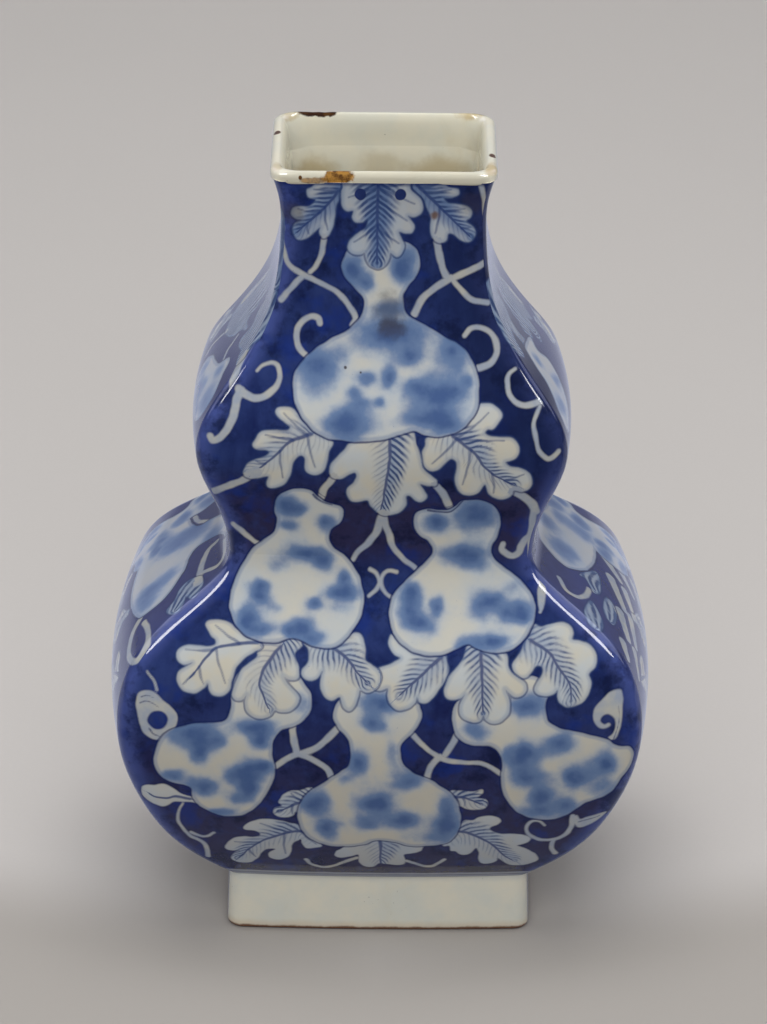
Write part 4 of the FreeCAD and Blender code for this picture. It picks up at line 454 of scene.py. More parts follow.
def draw(Q, leaves, gourds, pales, vines, lines, eyes):
    """Q is (n, 2) panel coordinates. Returns the fields that the painted material reads."""
    n = len(Q)
    L = {k: np.full(n, -4.0) for k in range(1, 7)}
    lp, lq, hm = np.zeros(n), np.full(n, 9.0), np.zeros(n)
    rib_l, rib_s, top_id = np.zeros(n), np.full(n, -9.0), np.full(n, -1)
    lobe = np.full(n, -4.0)
    spot, pale = np.zeros(n), np.zeros(n)
    line = np.full(n, -4.0)
    eye_d = np.full(n, -4.0)
    for n_leaf, (layer, hatch, outline, rib) in enumerate(leaves):
        poly = curve_closed(outline)
        heavy = 1.0
        if isinstance(hatch, tuple):
            hatch, heavy, _ = hatch
        k = near(Q, poly, 3.0)
        if not len(k):
            continue
        q = Q[k]
        d = inside_dist(q, poly)
        L[layer][k] = np.maximum(L[layer][k], d)
        rib = curve_open(rib)
        a, b = along_rib(q, rib)
        total = np.hypot(*np.diff(rib, axis=0).T).sum()
        b = b / np.clip(1.25 - 0.75 * a / total, 0.45, 1.25)
        take = ((d > 0) & (layer >= rib_l[k])) | ((d > rib_s[k]) & (rib_s[k] < 0))
        t = k[take]
        lp[t], lq[t] = a[take], b[take]
        side = -b[take] if hatch == 1 else b[take] if hatch == -1 else np.abs(b[take])
        hm[t] = 0 if hatch == 0 else heavy * (np.clip(side / 0.5, 0, 1) + 0.4 * np.clip(-side / 0.5, 0, 1))
        if hatch == 3:                      # lines that run lengthwise
            lp[t], lq[t] = 0.62 * b[take] + 0.05 * a[take] + 0.6, 1.2
            hm[t] = heavy * 1.4
        top_id[t] = n_leaf
        rib_l[t], rib_s[t] = np.where(d[take] > 0, layer, rib_l[t]), d[take]
        pale[t] = 0
    for n_leaf, (layer, hatch, outline, rib) in enumerate(leaves):
        poly = curve_closed(outline)
        mine = np.where(top_id == n_leaf)[0]
        if not (isinstance(hatch, tuple) and hatch[2]):
            continue
        for path in lobe_ribs(poly, curve_open(rib)):
            k = mine[near(Q[mine], path, 1.5)]
            if len(k):
                lobe[k] = np.maximum(lobe[k], path_dist(Q[k], path, 0.7, 0.35))
    for layer, outline, spots in gourds:
        poly = curve_closed(outline)
        k = near(Q, poly, 3.0)
        if not len(k):
            continue
        d = inside_dist(Q[k], poly)
        L[layer][k] = np.maximum(L[layer][k], d)
        clear = np.ones(n)
        for cx, cy, rx, ry, st in spots:
            rx, ry = rx * 1.17 + 0.15, ry * 1.17 + 0.15
            m = near(Q, np.array([[cx, cy]]), max(rx, ry) * 2.2)
            wx = 0.16 * rx * wobble(Q[m, 0], Q[m, 1], 11, 0.28) + 0.22 * wobble(Q[m, 0], Q[m, 1], 13, 0.8)
            wy = 0.16 * ry * wobble(Q[m, 0], Q[m, 1], 12, 0.28) + 0.22 * wobble(Q[m, 0], Q[m, 1], 14, 0.8)
            rho = np.hypot((Q[m, 0] - cx + wx) / rx, (Q[m, 1] - cy + wy) / ry)
            clear[m] *= 1 - np.minimum(0.93 * st, 0.97) * np.exp(-1.15 * rho ** 2.2)
        spot = np.maximum(spot, 1 - clear)
    for layer, outline, holes in pales:
        poly = curve_closed(outline)
        k = near(Q, poly, 3.0)
        if not len(k):
            continue
        d = inside_dist(Q[k], poly)
        for h in holes:
            d = np.minimum(d, -inside_dist(Q[k], curve_closed(h)))
        newer = d > np.maximum(L[layer][k], -0.5)
        L[layer][k] = np.maximum(L[layer][k], d)
        pale[k[newer]] = 1
    for path, w0, w1 in vines:
        pts = curve_open(path)
        k = near(Q, pts, 3.5)
        if not len(k):
            continue
        d = path_dist(Q[k], pts, w0, w1)
        newer = d > np.maximum(L[1][k], -0.6)
        L[1][k] = np.maximum(L[1][k], d)
        pale[k[newer]] = 1
    for path, w in lines:
        pts = curve_open(path)
        k = near(Q, pts, 2.0)
        if len(k):
            line[k] = np.maximum(line[k], path_dist(Q[k], pts, w, w * 0.6))
    for cx, cy, rx, ry in eyes:
        k = near(Q, np.array([[cx, cy]]), 3.0)
        if len(k):
            d = (1 - np.hypot((Q[k, 0] - cx) / rx, (Q[k, 1] - cy) / ry)) * min(rx, ry)
            eye_d[k] = np.maximum(eye_d[k], d)
    out = {f"layer{i}": np.clip(L[i], -3, 3) for i in L}
    out.update(rib_along=lp, rib_across=np.clip(lq, -9, 9), hatch=hm, spot=spot, pale=pale,
               line=np.clip(line, -3, 3), eye=np.clip(eye_d, -3, 3), lobe=np.clip(lobe, -3, 3))
    return out


S_WAIST = {"front": length_table("lower", "front")[1][-1], "side": length_table("lower", "side")[1][-1]}
S_TOP = {"front": S_WAIST["front"] + length_table("upper", "front")[1][-1],
         "side": S_WAIST["side"] + length_table("upper", "side")[1][-1]}

HEAVY = {"CL": 1.7, "LL": 1.5, "RL": 1.5, "CA": 1.25, "RA": 1.1, "LB1": 0.0, "LA": 0.8, "LT": 0.5, "SL": 1.1, "SR": 1.1}
LOBED = ("CL", "LL", "RL", "LB1", "LA", "RA", "SL", "SR", "LBL")
FRONT = dict(leaves=[(v[0], (v[1], HEAVY.get(k, 1.0), k in LOBED), v[2], v[3]) for k, v in LEAVES.items()],
             gourds=[(v[0], v[1], [(x, y, rx * 1.22, ry * 1.22, st) for x, y, rx, ry, st in v[2]] if k == "G1" else v[2])
                     for k, v in GOURDS.items()], pales=list(PALES.values()), vines=VINES, lines=LINES, eyes=EYES)


def side_set(gourd_hi, spots_hi, extra_vines, extra_leaves, seed, gourd_top, spots_top):
    """The narrow faces: two sprays of gourds and leaves. Coordinates run towards the front arris."""
    lv, gd, pl, vn = [], [], [], []
    lf = LEAVES

    def leaf(name, layer, at, scale, turn, mirror=False, hatch=None):
        o = np.array(lf[name][2])
        c = o.mean(0)
        h = lf[name][1] if hatch is None else hatch
        if mirror:
            h = {1: -1, -1: 1}.get(h, h)
        lv.append((layer, (h, HEAVY.get(name, 1.0), name in LOBED), move(lf[name][2], at, scale, turn, mirror, c), move(lf[name][3], at, scale, turn, mirror, c)))

    def gourd(name, layer, at, scale, turn, mirror=False):
        o = np.array(GOURDS[name][1])
        c = o.mean(0)
        sp = []
        for x, y, rx, ry, st in GOURDS[name][2]:
            q = move([(x, y)], at, scale, turn, mirror, c)[0]
            k = float(np.mean(scale))
            sp.append((q[0], q[1], rx * k, ry * k, st))
        gd.append((layer, move(GOURDS[name][1], at, scale, turn, mirror, c), sp))

    gd.append((5, gourd_hi, spots_hi))
    for path, w0, w1 in extra_vines:
        vn.append((path, w0, w1))
    for o, rib in extra_leaves:
        lv.append((4, (3, 1.0, False), np.array(o, float), np.array(rib, float)))
    # lower bulb
    leaf("LB2", 3, (10, 66), 0.92, 0.25)
    leaf("RB1", 4, (-9, 68), 0.9, 0.05)
    leaf("RB3", 3, (-27, 66), 0.85, -0.15)
    leaf("LB1", 3, (28, 63), 0.8, 0.2)
    gourd("G2R", 5, (-24, 88), 0.74, 0.35)
    gourd("G3C", 2, (1, 35), (0.86, 0.92), 0.02, seed % 2 == 1)
    gourd("G2L", 2, (-29, 40), 0.62, -0.5)
    leaf("LBL", 1, (-17, 11), 0.8, 0.1)
    leaf("RBL", 1, (20, 11), 0.8, -0.1)
    leaf("CA", 1, (31, 33), 0.72, 0.5)
    vn.append(([(44, 60), (38, 52), (33, 46), (36, 40), (42, 37)], 1.6, 1.4))
    vn.append(([(-40, 62), (-37, 54), (-40, 48), (-44, 46), (-45, 51)], 1.5, 1.3))
    vn.append(([(14, 56), (18, 50), (24, 47), (28, 42)], 1.5, 1.4))
    vn.append(([(-12, 58), (-16, 54), (-22, 53), (-27, 49)], 1.5, 1.4))
    vn.append(([(-3, 112), (-8, 104), (-14, 99), (-20, 97)], 1.6, 1.4))
    vn.append(([(36, 21), (41, 17), (40, 12), (35, 11), (33, 14)], 1.4, 1.2))
    vn.append(([(-33, 20), (-38, 15), (-36, 10), (-31, 11)], 1.4, 1.2))
    # upper bulb and neck
    leaf("CA", 4, (-10, 131) if seed == 1 else (-15, 127), 0.6, 0.1, seed % 2 == 1)
    leaf("RA", 3, (13, 133) if seed == 1 else (12, 124), 0.5, -0.1)
    gd.append((5, gourd_top, spots_top))
    leaf("LB3", 3, (-22, 158), 0.62, -0.35)
    leaf("LB2", 4, (-25, 143), 0.5, 0.3)
    leaf("CL", 6, (-6, 203), 0.8, 0.15)
    leaf("LL", 3, (8, 205), 0.6, 0.3)
    leaf("RL", 3, (-17, 203), 0.6, -0.2)
    vn.append(([(-3, 190), (-7, 183), (-13, 176), (-18, 168)], 1.5, 1.4))
    vn.append(([(-26, 124), (-21, 121), (-18, 116), (-21, 112)], 1.4, 1.4))
    vn.append(([(26, 124), (21, 121), (19, 116)], 1.4, 1.4))
    return dict(leaves=lv, gourds=gd, pales=pl, vines=vn, lines=[], eyes=[])


SIDE = {
    "left": side_set(
        [(14.0, 110.2), (7, 107.5), (4.2, 103.7), (4.0, 99.8), (7.3, 97.5), (13.5, 96.1), (18.5, 93.7), (21.9, 91.7),
         (24.9, 88.7), (25.6, 85.2), (24.9, 81.4), (20.4, 79.2), (11.4, 77.6), (3.3, 77.4), (-5.2, 78.3), (-16.6, 80.0),
         (-24.5, 82.5), (-28.5, 87.2), (-26.5, 92.3), (-21.2, 95.1), (-14.8, 97.0), (-10.4, 99.5), (-9.6, 103.5),
         (-6.6, 107.5), (0, 110.4), (7, 111.8)],
        [(-9.1, 98.2, 5.7, 5.0, 1), (-6.6, 93.0, 5.0, 4.7, 0.9), (-12.5, 88.4, 5.5, 3.6, 0.6), (12.4, 85.5, 4.2, 5.2, 0.9),
         (10.8, 91.9, 3.1, 3.0, 0.5), (18.8, 83.4, 4.5, 4.1, 0.8), (3, 104.6, 4.6, 3.2, 0.8), (-20, 86, 4, 3, 0.7)],
        [([(14.15, 109.69), (22.56, 109.01), (25.23, 106.17), (23.45, 102.56), (22.18, 100.4)], 2.25, 1.54),
         ([(9.56, 106.21), (10.69, 103.49), (15.42, 101.69), (21.56, 100.43), (27.26, 99.84)], 1.96, 2.15),
         ([(25.78, 80.84), (28.6, 78.05), (33.17, 76.08), (38.81, 75.11), (44.03, 76.19)], 2.34, 2.02),
         ([(29.29, 82.24), (35.71, 83.12), (41.24, 82.22), (44.08, 79.24), (44.67, 76.48)], 1.81, 1.85),
         ([(6.4, 167.2), (7.9, 163.2), (11.5, 161.2), (13.5, 159.5)], 1.4, 1.2),
         ([(-8.7, 161.4), (-11.2, 156.0), (-9.5, 152.5)], 1.4, 1.3),
         ([(25.8, 169.11), (27.57, 166.28), (29.85, 163.93), (32.36, 161.76), (33.08, 159.8)], 3.16, 2.01)],
        [([(24.28, 100.62), (29.73, 100.99), (33.14, 99.07), (34.45, 97.0), (30.91, 95.6), (33.65, 94.78), (37.4, 92.29),
          (35.26, 89.93), (32.07, 89.72), (29.52, 92.29), (24.78, 93.97), (22.5, 96.89)], [(24, 99), (30, 95), (35, 92)]),
         ([(-5.28, 184.5), (-10.7, 179.6), (-19, 172), (-20, 166), (-17, 163), (-12, 161.6), (-7, 161.4), (-2, 162.8), (3, 165.5), (5.3, 168.5), (9.5, 170.4), (10.5, 171.6), (5.4, 171.5), (4.8, 173.5), (5.2, 175.8), (6.2, 179.6), (6.4, 184)], [(-3, 184), (-5.5, 173), (-3, 164)]),
         ([(8.9, 186), (10.5, 181), (9.9, 177), (12.4, 174.8), (13, 171.5), (11.8, 168.8), (15.2, 167.6), (19.5, 168.4), (22.5, 166.8), (25.5, 166.2), (26.8, 169), (26, 173), (27, 176), (26, 180), (25, 184), (24.3, 187.5), (18, 189)], [(17, 188), (19, 179), (19.5, 169)]),
         ([(19, 191), (22, 187), (24.5, 190), (25, 196), (24.5, 203), (22, 209), (20, 208), (21, 200)], [(22, 207), (22.5, 198), (22, 190)])], 1,
        [(14, 163.4), (17.5, 163.6), (20.5, 161.2), (24.5, 158.8), (27.5, 156.2), (28.6, 152.6), (26.5, 148.6), (19, 145.6),
         (11, 145), (2, 146.2), (-4, 149), (-5.5, 153), (-2, 156.4), (5, 158), (10.5, 159.6)],
        [(16, 160, 4, 2.6, 0.7), (24, 153, 5, 3.6, 0.9), (9, 150, 5, 3.6, 0.9), (-1, 152.5, 3.5, 2.6, 0.7), (17, 148, 4, 2.6, 0.6)]),
    "right": side_set(
        [(-10.18, 107.33), (-23.51, 102.65), (-27.22, 98.12), (-29.89, 93.76), (-28.37, 90.51), (-21.29, 88.52),
         (-9.5, 89.0), (0.17, 90.15), (7.92, 92.61), (12.19, 95.89), (14.52, 99.23), (12.91, 103.16), (10.68, 106.35),
         (8.88, 108.62), (1.88, 109.6)],
        [(-7.9, 105.2, 4.5, 3.9, 0.9), (4.6, 100.5, 5.6, 4.6, 0.9), (-16.6, 93.1, 4.7, 4.0, 0.8), (-19, 100, 4, 3, 0.7)],
        [([(23.95, 101.06), (28.62, 98.59), (28.73, 95.24), (24.86, 92.64), (19.58, 91.9)], 1.53, 1.76),
         ([(1.9, 84.8), (8.6, 82.6), (15.4, 79.8)], 3.4, 2.4), ([(18.8, 81.6), (24.5, 79.8), (30.1, 77.3)], 3.4, 2.4),
         ([(15.6, 77.6), (22, 75.8), (28, 73.8)], 3.0, 2.2), ([(2, 79.6), (7, 77.8), (12, 75.6)], 3.2, 2.2),
         ([(-9, 86), (-5, 83.6), (-1.5, 81)], 3.4, 2.2), ([(34.5, 79.4), (37.2, 78), (40, 76.2)], 3.0, 2.0),
         ([(31, 74.4), (35, 72.4), (39, 69.8)], 2.8, 1.8), ([(-8, 79.6), (-4.5, 77.4), (-1.5, 75.2)], 3.2, 2.0)],
        [([(13.97, 94.94), (6.86, 91.07), (6.21, 89.1), (13.2, 88.4), (17.89, 88.55), (20.06, 90.47), (17.42, 91.5),
          (14.45, 93.0)], [(8, 90), (13, 91.5), (18, 90)]),
         ([(25.86, 91.14), (29.14, 88.5), (34.25, 86.57), (39.05, 86.52), (39.82, 88.36), (38.18, 90.75), (34.38, 92.42)], [(27, 90), (33, 89), (39, 88)]),
         ([(17.57, 86.55), (18.5, 83.89), (23.46, 82.64), (30.29, 83.25), (29.66, 85.44), (25.11, 87.01)], [(18, 85.5), (24, 85), (29, 84.5)]),
         ([(8, 189), (9.5, 183), (7.5, 178), (10.5, 175.2), (11, 171.5), (9.5, 167.8), (13.2, 167.2), (15.5, 171.5), (17, 174.5),
           (19.5, 172.5), (21.5, 168.5), (25.5, 170.2), (26.2, 175), (25.4, 180), (25.4, 185), (24.6, 190), (18, 192), (12, 191.5)],
          [(17.5, 190), (18.5, 182), (17.8, 174)]),
         ([(-4, 186), (-9.5, 180), (-15.5, 174.5), (-17.5, 168), (-14.5, 163.6), (-10.5, 166), (-8.2, 161.6), (-3.6, 161.2), (-2.2, 166),
           (1.6, 164.6), (4.4, 168.4), (3.2, 172.6), (5.4, 177.4), (6, 184), (3, 188)], [(0.5, 187), (-3.4, 177), (-6.4, 165)])], 2,
        [(3, 166), (6, 162.8), (3.3, 159), (5, 155.3), (9, 152), (13.4, 149), (20, 147), (27, 146), (29.5, 149), (27.5, 153.5),
         (24, 156), (20.8, 159), (19, 162.8), (17, 166.5), (15, 168.2), (10, 167.8)],
        [(13, 163, 2.6, 2.2, 0.6), (22, 152, 4, 2.6, 0.8), (11, 155, 3.4, 2.6, 0.7)]),
}


def paint(part, face, P, N, u, s, arris):
    kind = "front" if face in ("front", "back") else "side"
    S = s + (S_WAIST[kind] if part == "upper" else 0.0)
    U = u.copy()
    if face == "back":
        U = -(U + 0.8 * wobble(U, S, 21, 0.05)) - 0.4
        S2 = S + 0.8 * wobble(U, S, 22, 0.05)
    elif face == "right":
        U, S2 = -U, S
    else:
        S2 = S
    w = 0.10
    Q = np.stack([(U + w * wobble(U, S2, 1, 0.9)).ravel(), (S2 + w * wobble(U, S2, 2, 0.9)).ravel()], 1)
    f = draw(Q, **(FRONT if kind == "front" else SIDE[face]))
    f["arris"] = np.clip(arris, 0, 12).ravel()
    # mask for the painted bluish light on the narrow sides, growing away from the arrises
    f["flank"] = (0.0 if kind == "front" else 1.0) * np.clip(arris / 5.0, 0, 1).ravel()
    f["up"] = S.ravel()
    f["below"] = (S_TOP[kind] - S).ravel()
    return f


# ---------------------------------------------------------------- meshes of the eight wall slabs
def make_object(name, verts, faces, normals, uvs, mats, slots, attrs):
    """Builds one mesh object from arrays. faces is a list of (array of corner indices, material index)."""
    me = bpy.data.meshes.new(name)
    me.vertices.add(len(verts))
    me.vertices.foreach_set("co", (verts * MM).astype(np.float32).ravel())
    counts = np.concatenate([np.full(len(f), f.shape[1]) for f, _ in faces])
    loops = np.concatenate([f.ravel() for f, _ in faces])
    me.loops.add(len(loops))
    me.loops.foreach_set("vertex_index", loops.astype(np.int32))
    me.polygons.add(len(counts))
    starts = np.concatenate([[0], np.cumsum(counts)[:-1]])
    me.polygons.foreach_set("loop_start", starts.astype(np.int32))
    me.polygons.foreach_set("material_index", np.concatenate([np.full(len(f), m) for f, m in faces]).astype(np.int32))
    me.polygons.foreach_set("use_smooth", np.ones(len(counts), bool))
    me.update(calc_edges=True)
    me.validate()
    layer = me.uv_layers.new(name="OFBake")
    layer.data.foreach_set("uv", uvs[loops].astype(np.float32).ravel())
    for key, values in attrs.items():
        at = me.attributes.new(key, "FLOAT", "POINT")
        at.data.foreach_set("value", values.astype(np.float32))
    me.normals_split_custom_set_from_vertices([tuple(n) for n in normals.tolist()])
    ob = bpy.data.objects.new(name, me)
    bpy.context.scene.collection.objects.link(ob)
    for m in mats:
        me.materials.append(m)
    return ob


def grid_faces(nr, nc, start, flip=False):
    i, j = np.meshgrid(np.arange(nr - 1), np.arange(nc - 1), indexing="ij")
    a = start + (i * nc + j).ravel()
    q = np.stack([a, a + 1, a + nc + 1, a + nc], 1)
    return q[:, ::-1] if flip else q


def zipper(a, b, ta, tb):
    """Triangles that join two rows of vertices whose positions along the seam are ta and tb."""
    tris, i, j = [], 0, 0
    while i < len(a) - 1 or j < len(b) - 1:
        if j == len(b) - 1 or (i < len(a) - 1 and ta[i + 1] <= tb[j + 1]):
            tris.append((a[i], a[i + 1], b[j]))
            i += 1
        else:
            tris.append((a[i], b[j + 1], b[j]))
            j += 1
    return tris


def wall(name, part, face, step, cols, inner_rows, inner_cols, mats, paint, z=None):
    if z is None:
        z, _ = rows(part, step)
    P, N, u, s, arris = panel(part, face, z, cols)
    zi = np.interp(np.linspace(0, len(z) - 1, inner_rows), np.arange(len(z)), z)
    Q, M, _, _, _ = panel(part, face, zi, inner_cols, inner=True)
    nr, nc, mr, mc = P.shape[0], cols, inner_rows, inner_cols
    outer, inside = P.reshape(-1, 3), Q.reshape(-1, 3)
    io = np.arange(nr * nc).reshape(nr, nc)
    ii = np.arange(mr * mc).reshape(mr, mc)
    edges = []
    for oo, qq, to, tq, turn in (
            (io[:, 0], ii[:, 0], z, zi, False), (io[:, -1], ii[:, -1], z, zi, True),
            (io[0], ii[0], np.linspace(0, 1, nc), np.linspace(0, 1, mc), True),
            (io[-1], ii[-1], np.linspace(0, 1, nc), np.linspace(0, 1, mc), False)):
        edges.append((oo, qq, to, tq, turn))
    verts, nrms = [outer, inside], [N.reshape(-1, 3), M.reshape(-1, 3)]
    hu = np.linspace(0.008, 0.992, nc)
    hv = np.linspace(0.13, 0.992, nr)
    uo = np.stack([np.broadcast_to(hu[None], (nr, nc)), np.broadcast_to(hv[:, None], (nr, nc))], -1).reshape(-1, 2)
    ui = np.stack([np.broadcast_to(np.linspace(0.01, 0.6, mc)[None], (mr, mc)),
                   np.broadcast_to(np.linspace(0.01, 0.11, mr)[:, None], (mr, mc))], -1).reshape(-1, 2)
    uvs = [uo, ui]
    faces = [(grid_faces(nr, nc, 0), 0)]
    base = nr * nc
    inner_f = (grid_faces(mr, mc, base, flip=True), 1)
    base += mr * mc
    tri_all = []
    for n_e, (oo, qq, to, tq, turn) in enumerate(edges):
        a = base + np.arange(len(oo))
        b = base + len(oo) + np.arange(len(qq))
        pa, pb = outer[oo], inside[qq]
        verts += [pa, pb]
        t = zipper(a, b, to, tq)
        if turn:
            t = [(x, z2, y) for x, y, z2 in t]
        tri_all += t
        mid_a, mid_b = pa[len(pa) // 2], pb[len(pb) // 2]
        along = pa[-1] - pa[0]
        nn = np.cross(along, mid_b - mid_a)
        nn /= np.linalg.norm(nn)
        sgn = 1.0
        if n_e == 0 and nn @ (mid_a - pa.mean(0) + (outer[io[nr // 2, 0]] - outer[io[nr // 2, nc // 2]])) < 0:
            sgn = -1.0
        if n_e == 1 and nn @ (outer[io[nr // 2, -1]] - outer[io[nr // 2, nc // 2]]) < 0:
            sgn = -1.0
        if n_e == 2:
            nn, sgn = np.array([0, 0, -1.0]), 1.0
        if n_e == 3:
            nn, sgn = np.array([0, 0, 1.0]), 1.0
        nrms += [np.tile(nn * sgn, (len(oo), 1)), np.tile(nn * sgn, (len(qq), 1))]
        v0 = 0.01 + n_e * 0.027
        uvs += [np.stack([np.linspace(0.65, 0.99, len(oo)), np.full(len(oo), v0)], 1),
                np.stack([np.linspace(0.65, 0.99, len(qq)), np.full(len(qq), v0 + 0.018)], 1)]
        base += len(oo) + len(qq)
    faces += [inner_f, (np.array(tri_all), 1)]
    V = np.concatenate(verts)
    attrs = {}
    for key, val in paint(part, face, P, N, u, s, arris).items():
        full = np.zeros(len(V))
        full[:nr * nc] = val.ravel()
        attrs[key] = full
    ob = make_object(name, V, faces, np.concatenate(nrms), np.concatenate(uvs), mats, None, attrs)
    return ob


# ---------------------------------------------------------------- materials
def lin(r, g, b):
    f = lambda v: (v / 255 / 12.92) if v / 255 <= 0.04045 else ((v / 255 + 0.055) / 1.055) ** 2.4
    return (f(r), f(g), f(b), 1.0)


class Net:
    """A small helper for node materials."""

    def __init__(self, name):
        self.mat = bpy.data.materials.new(name)
        self.mat.use_nodes = True
        self.nt = self.mat.node_tree
        self.bsdf = self.nt.nodes["Principled BSDF"]
        tc = self.nt.nodes.new("ShaderNodeTexCoord")
        self.pos = tc.outputs["Object"]
        sep = self.nt.nodes.new("ShaderNodeSeparateXYZ")
        self.nt.links.new(self.pos, sep.inputs[0])
        self.x, self.y, self.z = sep.outputs

    def put(self, socket, v):
        if isinstance(v, (int, float)):
            socket.default_value = v
        elif isinstance(v, tuple):
            socket.default_value = v
        else:
            self.nt.links.new(v, socket)

    def attr(self, name):
        n = self.nt.nodes.new("ShaderNodeAttribute")
        n.attribute_type = "GEOMETRY"
        n.attribute_name = name
        return n.outputs["Fac"]

    def m(self, op, a, b=None, c=None):
        n = self.nt.nodes.new("ShaderNodeMath")
        n.operation = op
        for i, v in enumerate((a, b, c)):
            if v is not None:
                self.put(n.inputs[i], v)
        return n.outputs[0]

    def ramp(self, v, lo, hi, a=0.0, b=1.0, smooth=True):
        n = self.nt.nodes.new("ShaderNodeMapRange")
        n.interpolation_type = "SMOOTHSTEP" if smooth else "LINEAR"
        n.clamp = True
        flip = lo > hi
        if flip:
            lo, hi, a, b = hi, lo, b, a
        self.put(n.inputs["Value"], v)
        n.inputs["From Min"].default_value, n.inputs["From Max"].default_value = lo, hi
        n.inputs["To Min"].default_value, n.inputs["To Max"].default_value = a, b
        return n.outputs[0]

    def mix(self, f, a, b):
        n = self.nt.nodes.new("ShaderNodeMix")
        n.data_type = "RGBA"
        n.clamp_factor = True
        self.put(n.inputs[0], f)
        self.put(n.inputs[6], a)
        self.put(n.inputs[7], b)
        return n.outputs[2]

    def noise(self, scale, detail=3.0, rough=0.5, vec=None, dist=0.0):
        n = self.nt.nodes.new("ShaderNodeTexNoise")
        n.inputs["Scale"].default_value = scale
        n.inputs["Detail"].default_value = detail
        n.inputs["Roughness"].default_value = rough
        n.inputs["Distortion"].default_value = dist
        self.nt.links.new(vec if vec is not None else self.pos, n.inputs["Vector"])
        return n.outputs["Fac"]

    def stretch(self, sx, sy, sz):
        n = self.nt.nodes.new("ShaderNodeMapping")
        n.inputs["Scale"].default_value = (sx, sy, sz)
        self.nt.links.new(self.pos, n.inputs["Vector"])
        return n.outputs[0]

    def spot(self, x, y, z, rx, ry, rz):
        """1 at the middle of an ellipsoid, 0 outside it (millimetres)."""
        dx = self.m("DIVIDE", self.m("SUBTRACT", self.x, x * MM), rx * MM)
        dy = self.m("DIVIDE", self.m("SUBTRACT", self.y, y * MM), ry * MM)
        dz = self.m("DIVIDE", self.m("SUBTRACT", self.z, z * MM), rz * MM)
        r2 = self.m("ADD", self.m("ADD", self.m("MULTIPLY", dx, dx), self.m("MULTIPLY", dy, dy)), self.m("MULTIPLY", dz, dz))
        return self.m("SUBTRACT", 1.0, self.m("SQRT", r2))

    def bump(self, height, strength, distance):
        n = self.nt.nodes.new("ShaderNodeBump")
        n.inputs["Strength"].default_value = strength
        n.inputs["Distance"].default_value = distance
        self.nt.links.new(height, n.inputs["Height"])
        self.nt.links.new(n.outputs[0], self.bsdf.inputs["Normal"])

    def done(self, colour, rough, spec=0.5):
        self.put(self.bsdf.inputs["Base Color"], colour)
        self.put(self.bsdf.inputs["Roughness"], rough)
        self.bsdf.inputs["Specular IOR Level"].default_value = spec
        return self.mat


